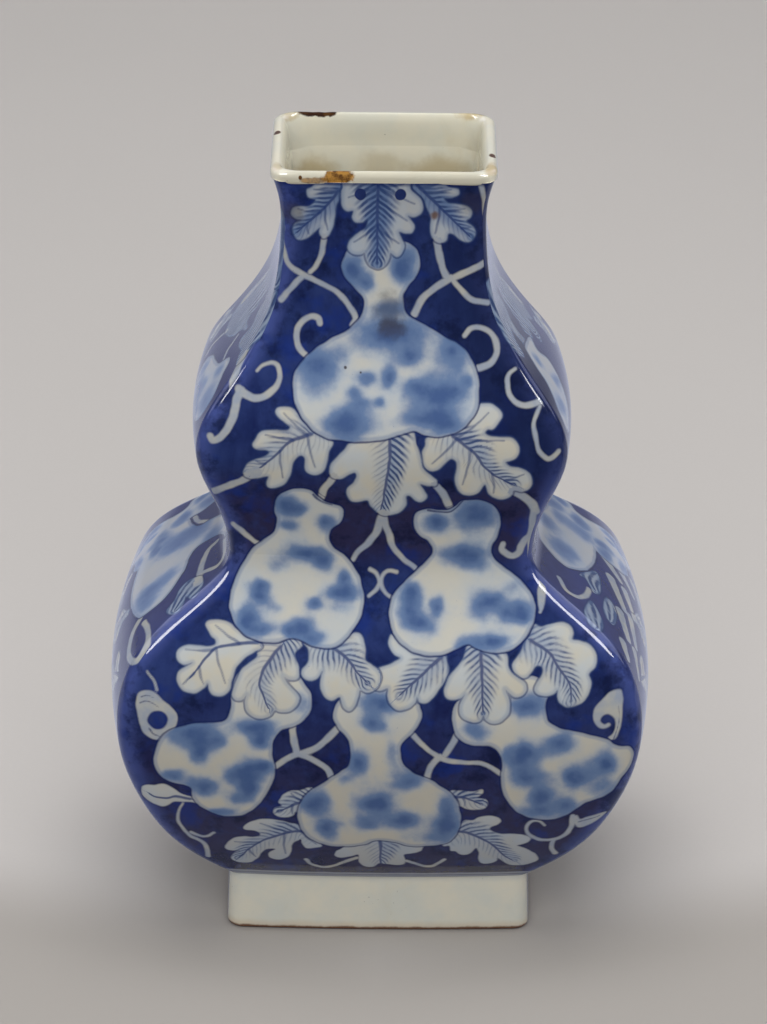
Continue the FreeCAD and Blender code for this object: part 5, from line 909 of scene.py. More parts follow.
def painted_glaze():
    """Cobalt drawing under a clear glossy glaze."""
    n = Net("painted_porcelain")
    big = n.noise(45, 4, 0.6)
    small = n.noise(420, 3, 0.6)
    tiny = n.noise(1500, 2, 0.5)
    streak = n.noise(140, 4, 0.62, n.stretch(1.0, 1.0, 0.35), 0.6)
    # the blue ground: washes of uneven depth; paler on the arrises, partly a thinner wash and partly painted
    # reflection; purplish and deep low on each bulb, a painted shade and painted floor reflection where the surface
    # turns down
    wash = n.m("ADD", n.m("MULTIPLY", big, 0.75), n.m("MULTIPLY", streak, 0.55))
    ground = n.mix(n.ramp(wash, 0.42, 0.92), G_DEEP, G_BRIGHT)
    # painted shade and painted floor reflection: purple-dark low on the lower bulb and around the waist
    painted_low_shade = n.m("MAXIMUM", n.ramp(n.z, 0.085, 0.032), n.m("MULTIPLY", n.ramp(n.z, 0.100, 0.110), n.ramp(n.z, 0.134, 0.120)))
    ground = n.mix(n.m("MULTIPLY", painted_low_shade, 0.8), ground, G_PURPLE_SHADE_AND_REFLECTION)
    # paler ground along the arrises: partly a thinner wash, partly painted reflection
    edge = n.ramp(n.m("ADD", n.attr("arris"), n.m("MULTIPLY", n.m("SUBTRACT", big, 0.5), 5.0)), 5.5, 0.0)
    ground = n.mix(n.m("MULTIPLY", edge, 0.88), ground, G_ARRIS_THIN_AND_SHEEN)
    ground = n.mix(n.m("MULTIPLY", n.ramp(n.noise(230, 3, 0.6), 0.45, 0.75), 0.45), ground, G_BRIGHT)
    ground = n.mix(n.m("MULTIPLY", n.ramp(n.noise(120, 4, 0.65), 0.48, 0.68), 0.7), ground, G_DARK)
    ground = n.mix(n.m("MULTIPLY", n.ramp(n.noise(95, 3, 0.6), 0.53, 0.70), 0.65), ground, G_VIVID)
    # painted light: the narrow sides get a paler, more violet ground for the bluish daylight that falls on them
    flank = n.attr("flank")
    ground = n.mix(n.m("MULTIPLY", flank, 0.6), ground, G_SIDE_LIGHT)
    # a deeper wash on the right half of the upper bulb
    deep = n.m("MULTIPLY", n.m("MULTIPLY", n.ramp(n.x, 0.006, 0.026), n.ramp(n.z, 0.122, 0.140)), n.ramp(n.y, 0.0, -0.012))
    ground = n.mix(n.m("MULTIPLY", deep, 0.65), ground, G_DARK)
    jit = n.m("MULTIPLY", n.m("SUBTRACT", small, 0.5), 0.26)
    # leaves: warm white, a soft blue midrib, slanting brush strokes and a thin wash along the rib
    la, lq, hm, pale = n.attr("rib_along"), n.attr("rib_across"), n.attr("hatch"), n.attr("pale")
    aq = n.m("ABSOLUTE", lq)
    leafy = n.m("SUBTRACT", 1.0, pale)
    tone = n.noise(110, 3, 0.55)
    white = n.mix(n.ramp(tone, 0.3, 0.7), W_WARM, W_COOL)
    white = n.mix(n.m("MULTIPLY", n.ramp(n.z, 0.168, 0.186), 0.38), white, W_WASH)
    # painted shade: leaf whites bluer and darker low on the lower bulb, where the surface faces down
    white = n.mix(n.m("MULTIPLY", n.ramp(n.z, 0.060, 0.030), 0.40), white, W_WASH)
    slant = n.m("SUBTRACT", la, n.m("MULTIPLY", aq, 0.85))
    slant = n.m("ADD", slant, n.m("MULTIPLY", n.m("SUBTRACT", n.noise(230, 2, 0.5), 0.5), 0.95))
    saw = n.m("ABSOLUTE", n.m("SUBTRACT", n.m("FRACT", n.m("DIVIDE", n.m("ADD", slant, 200.0), 1.62)), 0.5))
    brush = n.ramp(n.noise(170, 3, 0.6), 0.30, 0.60, 0.30, 1.0)
    reach = n.m("ADD", aq, n.m("MULTIPLY", n.m("SUBTRACT", n.noise(140, 2, 0.5), 0.5), 4.5))
    vein = n.m("MULTIPLY", n.m("MULTIPLY", n.ramp(n.m("SUBTRACT", saw, n.m("MULTIPLY", n.m("SUBTRACT", hm, 0.9), 0.09)), 0.38, 0.03), brush), n.m("MULTIPLY", hm, n.ramp(reach, 5.8, 2.6)))
    leaf = n.mix(n.m("MULTIPLY", n.m("MULTIPLY", hm, n.ramp(reach, 6.0, 0.3)), 0.58), white, W_WASH)
    leaf = n.mix(n.m("MULTIPLY", n.m("MULTIPLY", n.ramp(n.z, 0.166, 0.180), n.ramp(reach, 4.8, 0.2)), 0.72), leaf, B_NECK)
    leaf = n.mix(n.m("MINIMUM", n.m("MULTIPLY", n.m("MULTIPLY", vein, leafy), n.ramp(n.z, 0.166, 0.180, 0.86, 0.62)), 0.92), leaf, B_VEIN)
    leaf = n.mix(n.m("MULTIPLY", n.m("MULTIPLY", n.ramp(n.m("ADD", n.attr("lobe"), jit), -0.30, 0.22), leafy), 0.62), leaf, B_VEIN)
    rib = n.ramp(n.m("ADD", aq, jit), 0.68, 0.14)
    leaf = n.mix(n.m("MULTIPLY", n.m("MULTIPLY", rib, leafy), 0.85), leaf, B_RIB)
    stem = n.mix(n.ramp(n.noise(150, 3, 0.6), 0.35, 0.7), W_VINE, W_STEM)
    leaf = n.mix(n.m("MULTIPLY", pale, 0.92), leaf, stem)
    # gourds: white mottled with soft clouds of blue
    cloud = n.m("SUBTRACT", n.noise(170, 4, 0.62), 0.5)
    blot = n.m("ADD", n.m("MULTIPLY", n.attr("spot"), 1.12), n.m("MULTIPLY", cloud, 0.58))
    blot = n.m("ADD", blot, n.m("MULTIPLY", n.m("SUBTRACT", n.noise(620, 2, 0.5), 0.5), 0.14))
    skin = n.mix(n.ramp(n.noise(75, 3, 0.5), 0.35, 0.72), W_GOURD, W_COOL)
    # painted shade: gourd whites darker low on the lower bulb, where the surface faces down
    skin = n.mix(n.ramp(n.z, 0.085, 0.050), skin, W_LOW_SHADE)
    gourd = n.mix(n.m("MULTIPLY", n.ramp(blot, 0.00, 0.36), 0.34), skin, B_PALESPOT)
    gourd = n.mix(n.m("MULTIPLY", n.ramp(blot, 0.16, 0.70), 0.90), gourd, B_SPOT)
    gourd = n.mix(n.m("MULTIPLY", n.ramp(blot, 0.62, 1.12), 0.8), gourd, B_DEEPSPOT)
    # painted light: gourds on the narrow sides tinted blue by the light falling there
    gourd = n.mix(n.m("MULTIPLY", flank, 0.28), gourd, B_SIDE_LIGHT)
    col = ground
    for i, fill, stroke in ((1, leaf, 0.3), (2, gourd, 0.7), (3, leaf, 0.6), (4, leaf, 0.6), (5, gourd, 0.8), (6, leaf, 0.6)):
        d = n.m("ADD", n.attr(f"layer{i}"), jit)
        line = n.ramp(n.m("ABSOLUTE", n.m("ADD", d, 0.24)), 0.50, 0.10)
        if i == 1:
            line = n.m("MULTIPLY", line, leafy)
        col = n.mix(n.m("MULTIPLY", line, stroke), col, B_LINE)
        col = n.mix(n.ramp(d, -0.30, 0.38), col, fill)
        if i in (2, 5):   # a soft blue rim inside the gourd
            col = n.mix(n.m("MULTIPLY", n.ramp(n.m("ABSOLUTE", n.m("SUBTRACT", d, 0.42)), 0.85, 0.1), 0.42), col, B_SPOT)
        if i in (3, 4, 6):
            col = n.mix(n.m("MULTIPLY", n.m("MULTIPLY", n.ramp(n.m("ABSOLUTE", n.m("SUBTRACT", d, 0.25)), 1.0, 0.05), leafy), 0.32), col, B_SPOT)
    col = n.mix(n.m("MULTIPLY", n.ramp(n.m("ADD", n.attr("line"), jit), -0.22, 0.2), 0.75), col, B_LINE)
    col = n.mix(n.ramp(n.attr("eye"), -0.12, 0.2), col, ground)
    # the border line over the foot: pale grey-blue between two darker strokes
    up = n.m("ADD", n.attr("up"), n.m("MULTIPLY", n.m("SUBTRACT", n.noise(160, 2, 0.5), 0.5), 0.5))
    col = n.mix(n.ramp(up, 2.9, 2.4), col, BAND)
    col = n.mix(n.m("MULTIPLY", n.ramp(n.m("ABSOLUTE", n.m("SUBTRACT", up, 1.3)), 0.5, 0.1), 0.7), col, BAND_LINE)
    # a run of dark blue under the lip
    col = n.mix(n.m("MULTIPLY", n.ramp(n.attr("below"), 1.3, 0.3), 0.65), col, B_LINE)
    # iron specks and a brown smudge on the neck
    for x, y, z, r, k in STAINS:
        s = n.ramp(n.m("ADD", n.spot(x, y, z, r[0], 30.0, r[1]), n.m("MULTIPLY", n.m("SUBTRACT", small, 0.5), 0.9)), 0.0, 0.7)
        col = n.mix(n.m("MULTIPLY", s, k), col, B_RUST if k == 0.85 else B_IRON)
    pit = n.ramp(n.noise(1900, 1, 0.4), 0.80, 0.84)
    col = n.mix(n.m("MULTIPLY", pit, 0.6), col, B_DEEPSPOT)
    wave = n.m("ADD", n.m("MULTIPLY", n.noise(70, 2, 0.5), 1.0), n.m("MULTIPLY", n.noise(520, 2, 0.5), 0.06))
    n.bump(wave, 0.35, 0.00018)
    return n.done(col, n.ramp(small, 0.3, 0.8, 0.06, 0.12, smooth=False), 0.42)


def white_glaze(name, warm, cool, stain, stain_amount, extra=None, rough=(0.07, 0.14)):
    n = Net(name)
    t = n.noise(90, 4, 0.6)
    fine = n.noise(700, 3, 0.6)
    col = n.mix(n.ramp(t, 0.3, 0.7), warm, cool)
    dirt = n.noise(60, 5, 0.65, n.stretch(1, 1, 0.6), 0.4)
    col = n.mix(n.m("MULTIPLY", n.ramp(dirt, 0.52, 0.78), stain_amount), col, stain)
    speck = n.ramp(n.noise(1300, 1, 0.4), 0.79, 0.83)
    col = n.mix(n.m("MULTIPLY", speck, 0.5), col, B_IRON)
    if extra:
        col = extra(n, col, fine)
    n.bump(n.m("ADD", n.m("MULTIPLY", n.noise(130, 3, 0.5), 1.0), n.m("MULTIPLY", fine, 0.08)), 0.35, 0.00016)
    return n.done(col, n.ramp(fine, 0.3, 0.8, rough[0], rough[1], smooth=False))


def raw_edge(n, col, fine):
    """The bare bottom edge of the foot: brown, grainy."""
    h = n.m("ADD", n.z, n.m("MULTIPLY", n.m("SUBTRACT", n.noise(260, 3, 0.6), 0.5), 0.0011))
    col = n.mix(n.m("MULTIPLY", n.ramp(h, 0.0034, 0.0012), 0.55), col, FOOT_TAN)
    col = n.mix(n.ramp(h, 0.0015, 0.0008), col, FOOT_BROWN)
    col = n.mix(n.m("MULTIPLY", n.ramp(h, 0.0135, 0.0158), 0.5), col, W_COOL)
    return col


def lip_marks(n, col, fine):
    """Old chips and stains on the mouth rim, and painted shade on its front face."""
    col = inside_marks(n, col, fine)
    # painted shade: the front face of the rim greyer than its top
    col = n.mix(n.m("MULTIPLY", n.ramp(n.y, -0.0232, -0.0250), 0.55), col, LIP_FRONT_SHADE)
    rag = n.m("MULTIPLY", n.m("SUBTRACT", n.noise(520, 4, 0.65), 0.5), 1.1)
    for x, y, z, rx, ry, rz, k in LIP_CHIPS:
        s = n.m("ADD", n.spot(x, y, z, rx, ry, rz), rag)
        tint = n.mix(n.ramp(n.noise(600, 3, 0.6), 0.35, 0.62), CHIP_DARK, CHIP_ORANGE)
        if k < 0:
            tint = n.mix(n.ramp(n.noise(600, 3, 0.6), 0.35, 0.7), CHIP_BLACK, CHIP_DARK)
        col = n.mix(n.m("MULTIPLY", n.ramp(s, 0.05, 0.35), abs(k)), col, tint)
    for x, y, z, r in LIP_SPECKS:
        col = n.mix(n.ramp(n.m("ADD", n.spot(x, y, z, r, r * 1.6, r * 1.2), n.m("MULTIPLY", rag, 0.25)), 0.0, 0.35), col, CHIP_DARK)
    for x, y, z, rx, ry, rz, k in LIP_YELLOW:
        s = n.m("ADD", n.spot(x, y, z, rx, ry, rz), n.m("MULTIPLY", rag, 0.9))
        col = n.mix(n.m("MULTIPLY", n.ramp(s, 0.0, 0.6), k), col, STAIN_Y)
    return col


def inside_marks(n, col, fine):
    rag = n.m("MULTIPLY", n.m("SUBTRACT", n.noise(90, 4, 0.6), 0.5), 1.4)
    for x, y, z, rx, ry, rz, k in INSIDE_STAINS:
        s = n.m("ADD", n.spot(x, y, z, rx, ry, rz), rag)
        col = n.mix(n.m("MULTIPLY", n.ramp(s, 0.0, 0.7), k), col, STAIN_Y)
    return col


# colours, from brightest to deepest
W_WARM, W_COOL, W_GOURD, W_LOW_SHADE = lin(199, 195, 181), lin(190, 196, 199), lin(202, 200, 190), lin(190, 187, 176)
W_WASH, W_VINE, W_STEM = lin(128, 148, 180), lin(150, 160, 178), lin(180, 180, 174)
B_SPOT, B_DEEPSPOT, B_PALESPOT = lin(92, 120, 164), lin(60, 86, 138), lin(138, 164, 202)
B_NECK, B_SIDE_LIGHT, G_SIDE_LIGHT = lin(84, 110, 156), lin(150, 172, 220), lin(66, 70, 122)
B_VEIN, B_LINE, B_RIB = lin(50, 70, 118), lin(26, 38, 90), lin(42, 62, 116)
G_DEEP, G_BRIGHT, G_PURPLE_SHADE_AND_REFLECTION, G_ARRIS_THIN_AND_SHEEN = lin(24, 35, 82), lin(48, 64, 118), lin(50, 46, 74), lin(72, 86, 150)
G_DARK, G_VIVID = lin(17, 24, 54), lin(28, 50, 126)
BAND, BAND_LINE, B_IRON, B_RUST = lin(138, 144, 162), lin(76, 86, 118), lin(60, 54, 60), lin(104, 78, 62)
FOOT_TAN, FOOT_BROWN = lin(206, 188, 160), lin(118, 84, 62)
CHIP_DARK, CHIP_ORANGE, CHIP_BLACK, STAIN_Y = lin(92, 62, 34), lin(168, 124, 60), lin(58, 38, 30), lin(188, 164, 110)
P_WARM, P_COOL, P_STAIN = lin(226, 222, 206), lin(214, 216, 207), lin(205, 190, 150)
MOUTH_WARM, MOUTH_COOL, LIP_FRONT_SHADE = lin(230, 225, 206), lin(221, 220, 206), lin(176, 171, 154)
STAINS = [(12.7, -25, 193.7, (1.7, 1.5), 0.85), (1.5, -25, 169.2, (5.6, 6.5), 0.45), (2.0, -25, 165.0, (5.4, 3.6), 0.55),
          (-22.5, -25, 194.0, (4.5, 4.5), 0.5), (22.0, -25, 197.0, (4.0, 4.0), 0.35), (-9.2, -28, 155.9, (0.5, 0.5), 0.9),
          (-5.4, -28, 154.8, (0.45, 0.45), 0.9)]
LIP_CHIPS = [(-11.2, -25.2, 204.0, 4.9, 3.4, 3.6, 1.0), (-17.0, -25.4, 202.9, 4.6, 1.4, 1.1, 0.75),
             (-17.0, 23.3, 205.0, 6.4, 2.0, 1.5, -1.0)]
LIP_SPECKS = [(-27.0, 6.5, 204.9, 1.1), (-20.6, -24.9, 203.6, 0.55), (-28.1, -23.0, 203.8, 0.6), (27.0, -10.0, 204.9, 1.1)]
LIP_YELLOW = [(23.0, 23.5, 204.6, 6.0, 3.0, 1.8, 0.65), (-24.0, 21.0, 204.5, 3.5, 4.0, 1.5, 0.5), (26.5, -20.0, 204.6, 2.6, 6.0, 1.5, 0.7),
              (-26.5, -20.0, 204.6, 2.0, 4.0, 1.2, 0.45)]
INSIDE_STAINS = [(-18, 21, 188.5, 8, 7, 8, 0.62), (-1, 21, 191, 9, 6, 6, 0.35), (14, 21, 189.5, 12, 7, 6, 0.55), (22, 5, 196, 5, 12, 6, 0.4)]

M_PAINT = painted_glaze()
M_LIP = white_glaze("lip_porcelain", MOUTH_WARM, MOUTH_COOL, P_STAIN, 0.3, lip_marks)
M_FOOT = white_glaze("foot_porcelain", P_WARM, P_COOL, P_STAIN, 0.22, raw_edge)
M_IN = white_glaze("plain_porcelain", MOUTH_WARM, MOUTH_COOL, P_STAIN, 0.3, inside_marks)


# ---------------------------------------------------------------- the eight painted slabs
for part, cols_f, cols_s, step in (("lower", 331, 239, 0.375), ("upper", 283, 213, 0.335)):
    for face in ("front", "back", "left", "right"):
        node = f"{part}_{face}_wall"
        cols = cols_f if face in ("front", "back") else cols_s
        ob = wall("glazed_" + node, part, face, step, cols, 70, 60, [M_PAINT, M_IN], paint)
        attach(ob, "root")
        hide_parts(node)


# ---------------------------------------------------------------- the four strips of the foot, edges softened by the glaze
def no_paint(part, face, P, N, u, s, arris):
    return {}


foot_z = np.concatenate([FOOT_ROUND * (1 - np.cos(np.linspace(0.10, math.pi / 2, 12))), np.linspace(FOOT_ROUND, 16.0, 14)[1:]])
foot_z[0] = 0.0
for face in ("front", "back", "left", "right"):
    node = f"foot_{face}_strip"
    ob = wall("glazed_" + node, "foot", face, 1.0, 141 if face in ("front", "back") else 115, 8, 24, [M_FOOT, M_FOOT], no_paint, z=foot_z)
    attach(ob, "root")
    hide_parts(node)


# ---------------------------------------------------------------- the mouth lip: a soft bead of paste
def rounded(hx, hy, r, n_side=28, n_corner=14):
    """Points of a rounded rectangle, anticlockwise from the middle of the +x side, always the same count."""
    pts = []
    for k, (sx, sy) in enumerate(((1, 1), (-1, 1), (-1, -1), (1, -1))):
        cx, cy = sx * (hx - r), sy * (hy - r)
        a0 = k * math.pi / 2
        for a in np.linspace(a0, a0 + math.pi / 2, n_corner):
            pts.append((cx + r * math.cos(a), cy + r * math.sin(a)))
        nx_, ny_ = ((-1, 1), (-1, -1), (1, -1), (1, 1))[k]
        ax = cx + r * math.cos(a0 + math.pi / 2), cy + r * math.sin(a0 + math.pi / 2)
        k2 = (k + 1) % 4
        sx2, sy2 = ((1, 1), (-1, 1), (-1, -1), (1, -1))[k2]
        bx = sx2 * (hx - r) + r * math.cos(k2 * math.pi / 2), sy2 * (hy - r) + r * math.sin(k2 * math.pi / 2)
        for t in np.linspace(0, 1, n_side + 2)[1:-1]:
            pts.append((ax[0] + (bx[0] - ax[0]) * t, ax[1] + (bx[1] - ax[1]) * t))
    return np.array(pts)


def lip():
    prof = []
    for a in np.linspace(-90, 0, 8):       # rounding under the bead
        prof.append((0.95 - 0.95 * math.cos(math.radians(a)), 202.6 + 0.95 * math.sin(math.radians(a))))
    for a in np.linspace(6, 90, 12):       # outer shoulder
        prof.append((1.7 - 1.7 * math.cos(math.radians(a)), 203.3 + 1.7 * math.sin(math.radians(a))))
    for a in np.linspace(4, 74, 18):       # the inside falls away in one long soft curve
        prof.append((1.9 + 2.65 * math.sin(math.radians(a)), 194.0 + 11.0 * math.cos(math.radians(a))))
    prof += [(4.50, 196.0), (4.53, 195.0), (4.55, 194.0), (4.55, 193.0)]  # runs out flush with the wall
    rings = []
    for o, z in prof:
        oy = o if o < 1.9 else 1.9 + (o - 1.9) * 0.645
        c = rounded(28.2 - o, 25.05 - oy, 6.0 - 0.35 * o)
        bow = min(max((203.0 - z) / 5.0, 0.0), 1.0) if o > 1.9 else 0.0   # lower down it follows the bowed walls
        x, y = c[:, 0] / (28.2 - o), c[:, 1] / (25.05 - oy)
        c = np.column_stack([c[:, 0] + 0.33 * bow * x * (1 - y * y), c[:, 1] + 0.54 * bow * y * (1 - x * x)])
        rings.append(np.column_stack([c, np.full(168, z)]))
    R = np.array(rings)                    # (profile, loop, 3)
    k, m, _ = R.shape
    # hand-made unevenness, and the chips as shallow hollows
    x, y = R[..., 0], R[..., 1]
    top = np.clip((R[..., 2] - 203.2) / 1.8, 0, 1)
    R[..., 2] += top * (0.10 * wobble(x, y, 31, 0.05) - 0.10)
    for cx, cy, cz, rx, ry, rz, dep in ((-10.6, -25.0, 203.9, 4.6, 2.6, 2.2, 0.30), (-16.5, 24.8, 204.8, 5.2, 1.7, 1.2, 0.35)):
        rr = np.sqrt(((x - cx) / rx) ** 2 + ((y - cy) / ry) ** 2 + ((R[..., 2] - cz) / rz) ** 2)
        amt = dep * np.clip(1.15 - rr + 0.22 * wobble(x, y, 33, 1.6), 0, 1)
        R[..., 1] += np.where(cy < 0, amt, -amt)
        R[..., 2] -= amt * 0.6
    verts = R.reshape(-1, 3)
    i, j = np.meshgrid(np.arange(k), np.arange(m), indexing="ij")
    a, b = i * m + j, i * m + (j + 1) % m
    a2, b2 = ((i + 1) % k) * m + j, ((i + 1) % k) * m + (j + 1) % m
    quads = np.stack([a, b, b2, a2], -1).reshape(-1, 4)
    me = bpy.data.meshes.new("mouth_bead")
    me.from_pydata([tuple(v) for v in (verts * MM).tolist()], [], [tuple(q) for q in quads.tolist()])
    me.polygons.foreach_set("use_smooth", np.ones(len(me.polygons), bool))
    me.update()
    ob = bpy.data.objects.new("mouth_bead", me)
    bpy.context.scene.collection.objects.link(ob)
    me.materials.append(M_LIP)
    return ob


bead = lip()
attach(bead, "root")
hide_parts("mouth_lip")


# ---------------------------------------------------------------- luting coils smoothed into the inside corners
def coil(name, part, sx, sy, z0, z1, r_of, nz=60, na=14):
    """sx, sy: +1 or -1, the corner. The face towards the room is a hollow arc tangent to both walls."""
    z = np.linspace(z0, z1, nz)
    a = HALF[part](z)
    t = WALL[part](z)
    sf, ss = 0.5 + 0.09 * (a - 25.5), 0.3 + 0.085 * (a - 25.5)
    b = 32.31 + MITRE * (a - 40)

    def fillet(r):
        ai, bi = a - t, b - t
        rf, rs = (ai * ai + sf * sf) / (2 * sf), (bi * bi + ss * ss) / (2 * ss)
        yf, xs = -(bi + sf) + rf, (ai + ss) - rs
        d = np.hypot(xs, yf)
        ex, ey = xs / d, -yf / d
        r1, r2 = rf - r, rs - r
        q = (r1 ** 2 - r2 ** 2 + d ** 2) / (2 * d)
        w = np.sqrt(np.maximum(r1 ** 2 - q ** 2, 0))
        px, py = ex * q, yf + ey * q
        c1, c2 = (px + w * ey, py - w * ex), (px - w * ey, py + w * ex)
        pick = (c1[0] - c1[1]) > (c2[0] - c2[1])
        cx, cy = np.where(pick, c1[0], c2[0]), np.where(pick, c1[1], c2[1])
        return cx, cy, np.arctan2(cx, -(cy - yf)), np.arctan2(cx - xs, -cy), rf, rs, yf, xs
    R = r_of(z)
    cx, cy, t1, t2, rf, rs, yf, xs = fillet(R)
    kx, ky, s1, s2, _, _, _, _ = fillet(np.maximum(3.0 + 0.04 * (a - 25.5) - t, 0.9))
    rk = np.maximum(3.0 + 0.04 * (a - 25.5) - t, 0.9)
    loops = []
    for i in range(nz):
        th = np.linspace(t1[i], t2[i], na)
        room = np.column_stack([cx[i] + R[i] * np.sin(th), cy[i] - R[i] * np.cos(th)])
        g = np.linspace(t2[i], s2[i], 5)[1:-1]
        wall_s = np.column_stack([xs[i] + (rs[i] + 0.03) * np.sin(g), -(rs[i] + 0.03) * np.cos(g)])
        g = np.linspace(s2[i], s1[i], 6)
        knee = np.column_stack([kx[i] + (rk[i] + 0.03) * np.sin(g), ky[i] - (rk[i] + 0.03) * np.cos(g)])
        g = np.linspace(s1[i], t1[i], 5)[1:-1]
        wall_f = np.column_stack([(rf[i] + 0.03) * np.sin(g), yf[i] - (rf[i] + 0.03) * np.cos(g)])
        p = np.vstack([room, room[-1:], wall_s, knee, wall_f, room[:1]])
        loops.append(np.column_stack([p[:, 0] * sx, p[:, 1] * -sy, np.full(len(p), z[i])]))
    V = np.array(loops)
    n, m, _ = V.shape
    # the room side and the hidden side are separate bands, so that the shading does not fold over the edge
    i, j = np.meshgrid(np.arange(n - 1), np.array([k for k in range(m - 1) if k != na - 1]), indexing="ij")
    q = np.stack([i * m + j, i * m + j + 1, (i + 1) * m + j + 1, (i + 1) * m + j], -1).reshape(-1, 4)
    flip = sx * -sy < 0
    # the room side must face the axis of the vase
    if not flip:
        q = q[:, ::-1]
    faces = [tuple(f) for f in q.tolist()]
    low = list(range(na)) + list(range(na + 1, m - 1))
    high = [(n - 1) * m + k for k in low]
    faces += [tuple(low if not flip else low[::-1]), tuple(high[::-1] if not flip else high)]
    me = bpy.data.meshes.new(name)
    me.from_pydata([tuple(v) for v in (V.reshape(-1, 3) * MM).tolist()], [], faces)
    me.update()
    smooth = np.ones(len(me.polygons), bool)
    smooth[-2:] = False
    me.polygons.foreach_set("use_smooth", smooth)
    me.materials.append(M_IN)
    ob = bpy.data.objects.new(name, me)
    bpy.context.scene.collection.objects.link(ob)
    return ob


for part, z0, z1, rad in (("upper", 109.5, 202.4, lambda z: np.interp(z, [109.5, 150, 185, 202.4], [9.5, 8.5, 6.0, 3.6])),
                          ("lower", 22.0, 102.0, lambda z: np.full(len(z), 14.0))):
    for nm, sx, sy in (("front_right", 1, 1), ("front_left", -1, 1), ("back_right", 1, -1), ("back_left", -1, -1)):
        ob = coil(f"smoothed_{part}_{nm}_coil", part, sx, sy, z0, z1, rad)
        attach(ob, "root")
        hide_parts(f"{part}_{nm}_coil")

for name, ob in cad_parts.items():
    m = M_FOOT if name.startswith("foot_") else M_LIP if name == "mouth_lip" else M_IN
    ob.data.materials.clear()
    ob.data.materials.append(m)


# ---------------------------------------------------------------- seamless paper and soft studio light
def paper():
    n = Net("backdrop_paper")
    t = n.noise(3.0, 3, 0.5)
    g = n.noise(900, 2, 0.6)
    col = n.mix(n.m("ADD", n.m("MULTIPLY", t, 0.6), n.m("MULTIPLY", g, 0.4)), lin(198, 194, 191), lin(206, 202, 199))
    # painted shade: the floor darker in front of the vase and more so towards the sides
    painted_shade_ahead = n.m("SUBTRACT", n.y, n.m("MULTIPLY", n.m("ABSOLUTE", n.x), 0.35))
    col = n.mix(n.ramp(painted_shade_ahead, -0.020, -0.070), col, lin(174, 169, 164))
    # painted light: the paper lighter with height up the sweep
    col = n.mix(n.ramp(n.z, 0.05, 0.9), col, lin(216, 212, 209))
    return n.done(col, 0.85, 0.2)


def sheet(name, ys):
    vs = [(x, y, z) for y, z in ys for x in (-3.5, 3.5)]
    fs = [(2 * i, 2 * i + 1, 2 * i + 3, 2 * i + 2) for i in range(len(ys) - 1)]
    me = bpy.data.meshes.new(name)
    me.from_pydata(vs, [], fs)
    me.update()
    ob = bpy.data.objects.new(name, me)
    bpy.context.scene.collection.objects.link(ob)
    me.materials.append(PAPER)
    return ob


def mirror_paper():
    """What the glaze mirrors of the paper: cool daylight behind the vase, fading out toward the dark front of the room."""
    n = Net("mirrored_paper")
    t = n.noise(2.0, 2, 0.5)
    col = n.mix(n.ramp(t, 0.3, 0.7), lin(196, 200, 220), lin(204, 208, 227))
    col = n.mix(n.ramp(n.y, 0.03, -0.12), col, lin(6, 6, 9))
    return n.done(col, 0.9, 0.0)


PAPER = paper()
sheet("seamless_paper", [(-3.0, 0.0), (2.2, 0.0)] + [(2.2 + 1.2 * math.sin(a), 1.2 - 1.2 * math.cos(a))
                        for a in np.linspace(0.1, math.pi / 2, 12)] + [(3.4, 3.2)]).visible_glossy = False
PAPER = mirror_paper()
mirror = sheet("mirrored_paper", [(y, 0.0004) for y in np.linspace(-0.3, 2.2, 26)] + [(2.2 + 1.2 * math.sin(a), 1.2 - 1.2 * math.cos(a))
                         for a in np.linspace(0.1, math.pi / 2, 12)] + [(3.39, 3.2)])
mirror.visible_camera = mirror.visible_diffuse = mirror.visible_shadow = False


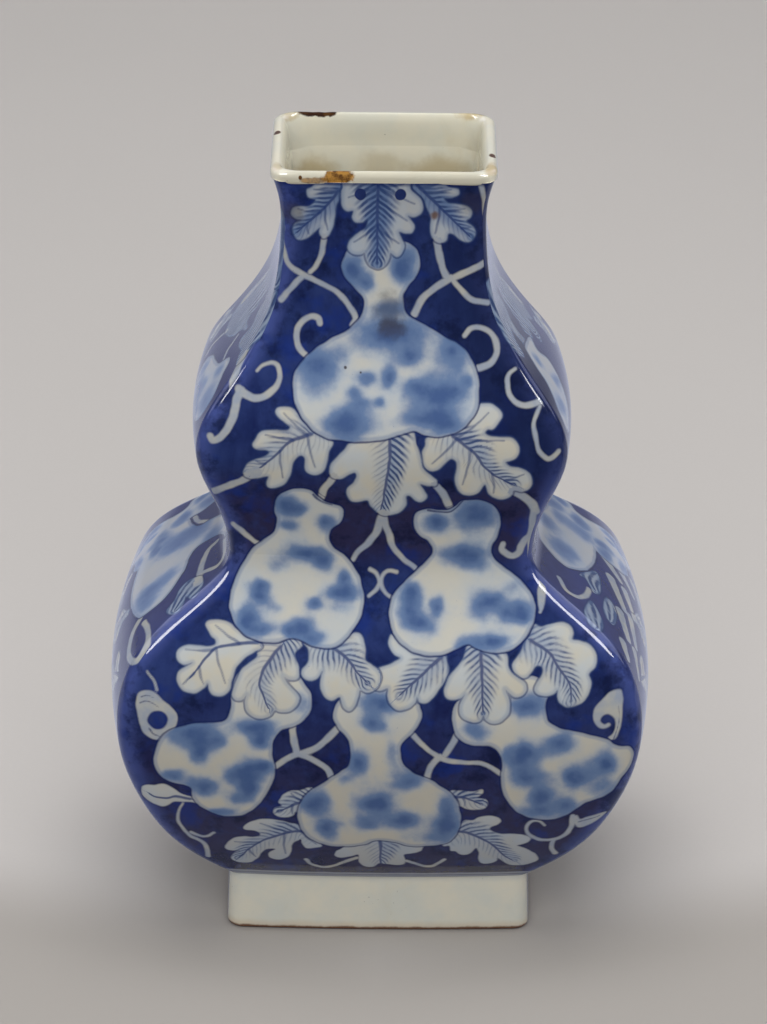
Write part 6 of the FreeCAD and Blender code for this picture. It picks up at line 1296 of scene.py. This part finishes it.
# ---------------------------------------------------------------- camera: the photo's viewing angle
AL, DIST, FPX, AIM = math.radians(22.47), 1295.0, 5012.0, 104.4
cam_data = bpy.data.cameras.new("camera")
cam = bpy.data.objects.new("camera", cam_data)
bpy.context.scene.collection.objects.link(cam)
bpy.context.scene.camera = cam
cam_data.sensor_fit = "AUTO"
cam_data.sensor_width = 36.0
cam_data.lens = FPX / 1024 * 36.0
cam_data.dof.use_dof = False
cam_data.clip_start, cam_data.clip_end = 0.05, 50
eye = Vector((0, -DIST * math.cos(AL), AIM + DIST * math.sin(AL))) * MM
look = Vector((0, 0, AIM * MM)) - eye
rot = look.to_track_quat("-Z", "Y").to_matrix().to_4x4()
ROLL = 0.00816
cam.matrix_world = Matrix.Translation(eye) @ rot @ Matrix.Rotation(ROLL, 4, "Z")
cam_data.shift_x = 2.3 / 1024


def softbox(name, where, target, w, h, watts, col=(1, 1, 1), shape="RECTANGLE", matt=True, shine=True):
    l = bpy.data.lights.new(name, "AREA")
    l.shape, l.size, l.size_y, l.energy, l.color = shape, w, h, watts, col
    o = bpy.data.objects.new(name, l)
    bpy.context.scene.collection.objects.link(o)
    o.location = where
    o.rotation_mode = "QUATERNION"
    o.rotation_quaternion = (Vector(target) - Vector(where)).to_track_quat("-Z", "Y")
    o.visible_diffuse, o.visible_glossy = matt, shine
    return o


def around(az, el, dist, z=0.12):
    a, e = math.radians(az), math.radians(el)
    return (dist * math.cos(e) * math.sin(a), -dist * math.cos(e) * math.cos(a), z + dist * math.sin(e))


# broad soft light from above and a weak one from the front; tall boxes at both sides give the streaks on the shoulders
softbox("softbox_top", (0, -0.10, 1.7), (0, 0.12, 0), 1.3, 1.3, 15.0, (1.0, 0.99, 0.975), shine=False)
softbox("softbox_front", (0, -1.5, 1.15), (0, 0, 0.08), 1.4, 1.1, 10.3, (1.0, 0.985, 0.955), shine=False)
for side, s in (("left", -1), ("right", 1)):
    softbox(f"strip_{side}", around(s * 80, 56, 1.35), (0, 0, 0.12), 0.42, 0.92, 17.5, (1.0, 0.99, 0.98), "ELLIPSE", matt=False)
    softbox(f"panel_{side}", around(s * 132, 38, 1.9), (0, 0, 0.12), 1.5, 1.5, 13.0, (0.66, 0.70, 1.0), matt=False)
w = bpy.data.worlds.new("studio")
bpy.context.scene.world = w
w.use_nodes = True
w.node_tree.nodes["Background"].inputs[0].default_value = (0.985, 0.99, 1, 1)
w.node_tree.nodes["Background"].inputs[1].default_value = 0.43
w.cycles_visibility.glossy = False
bpy.context.scene.view_settings.view_transform = "Standard"
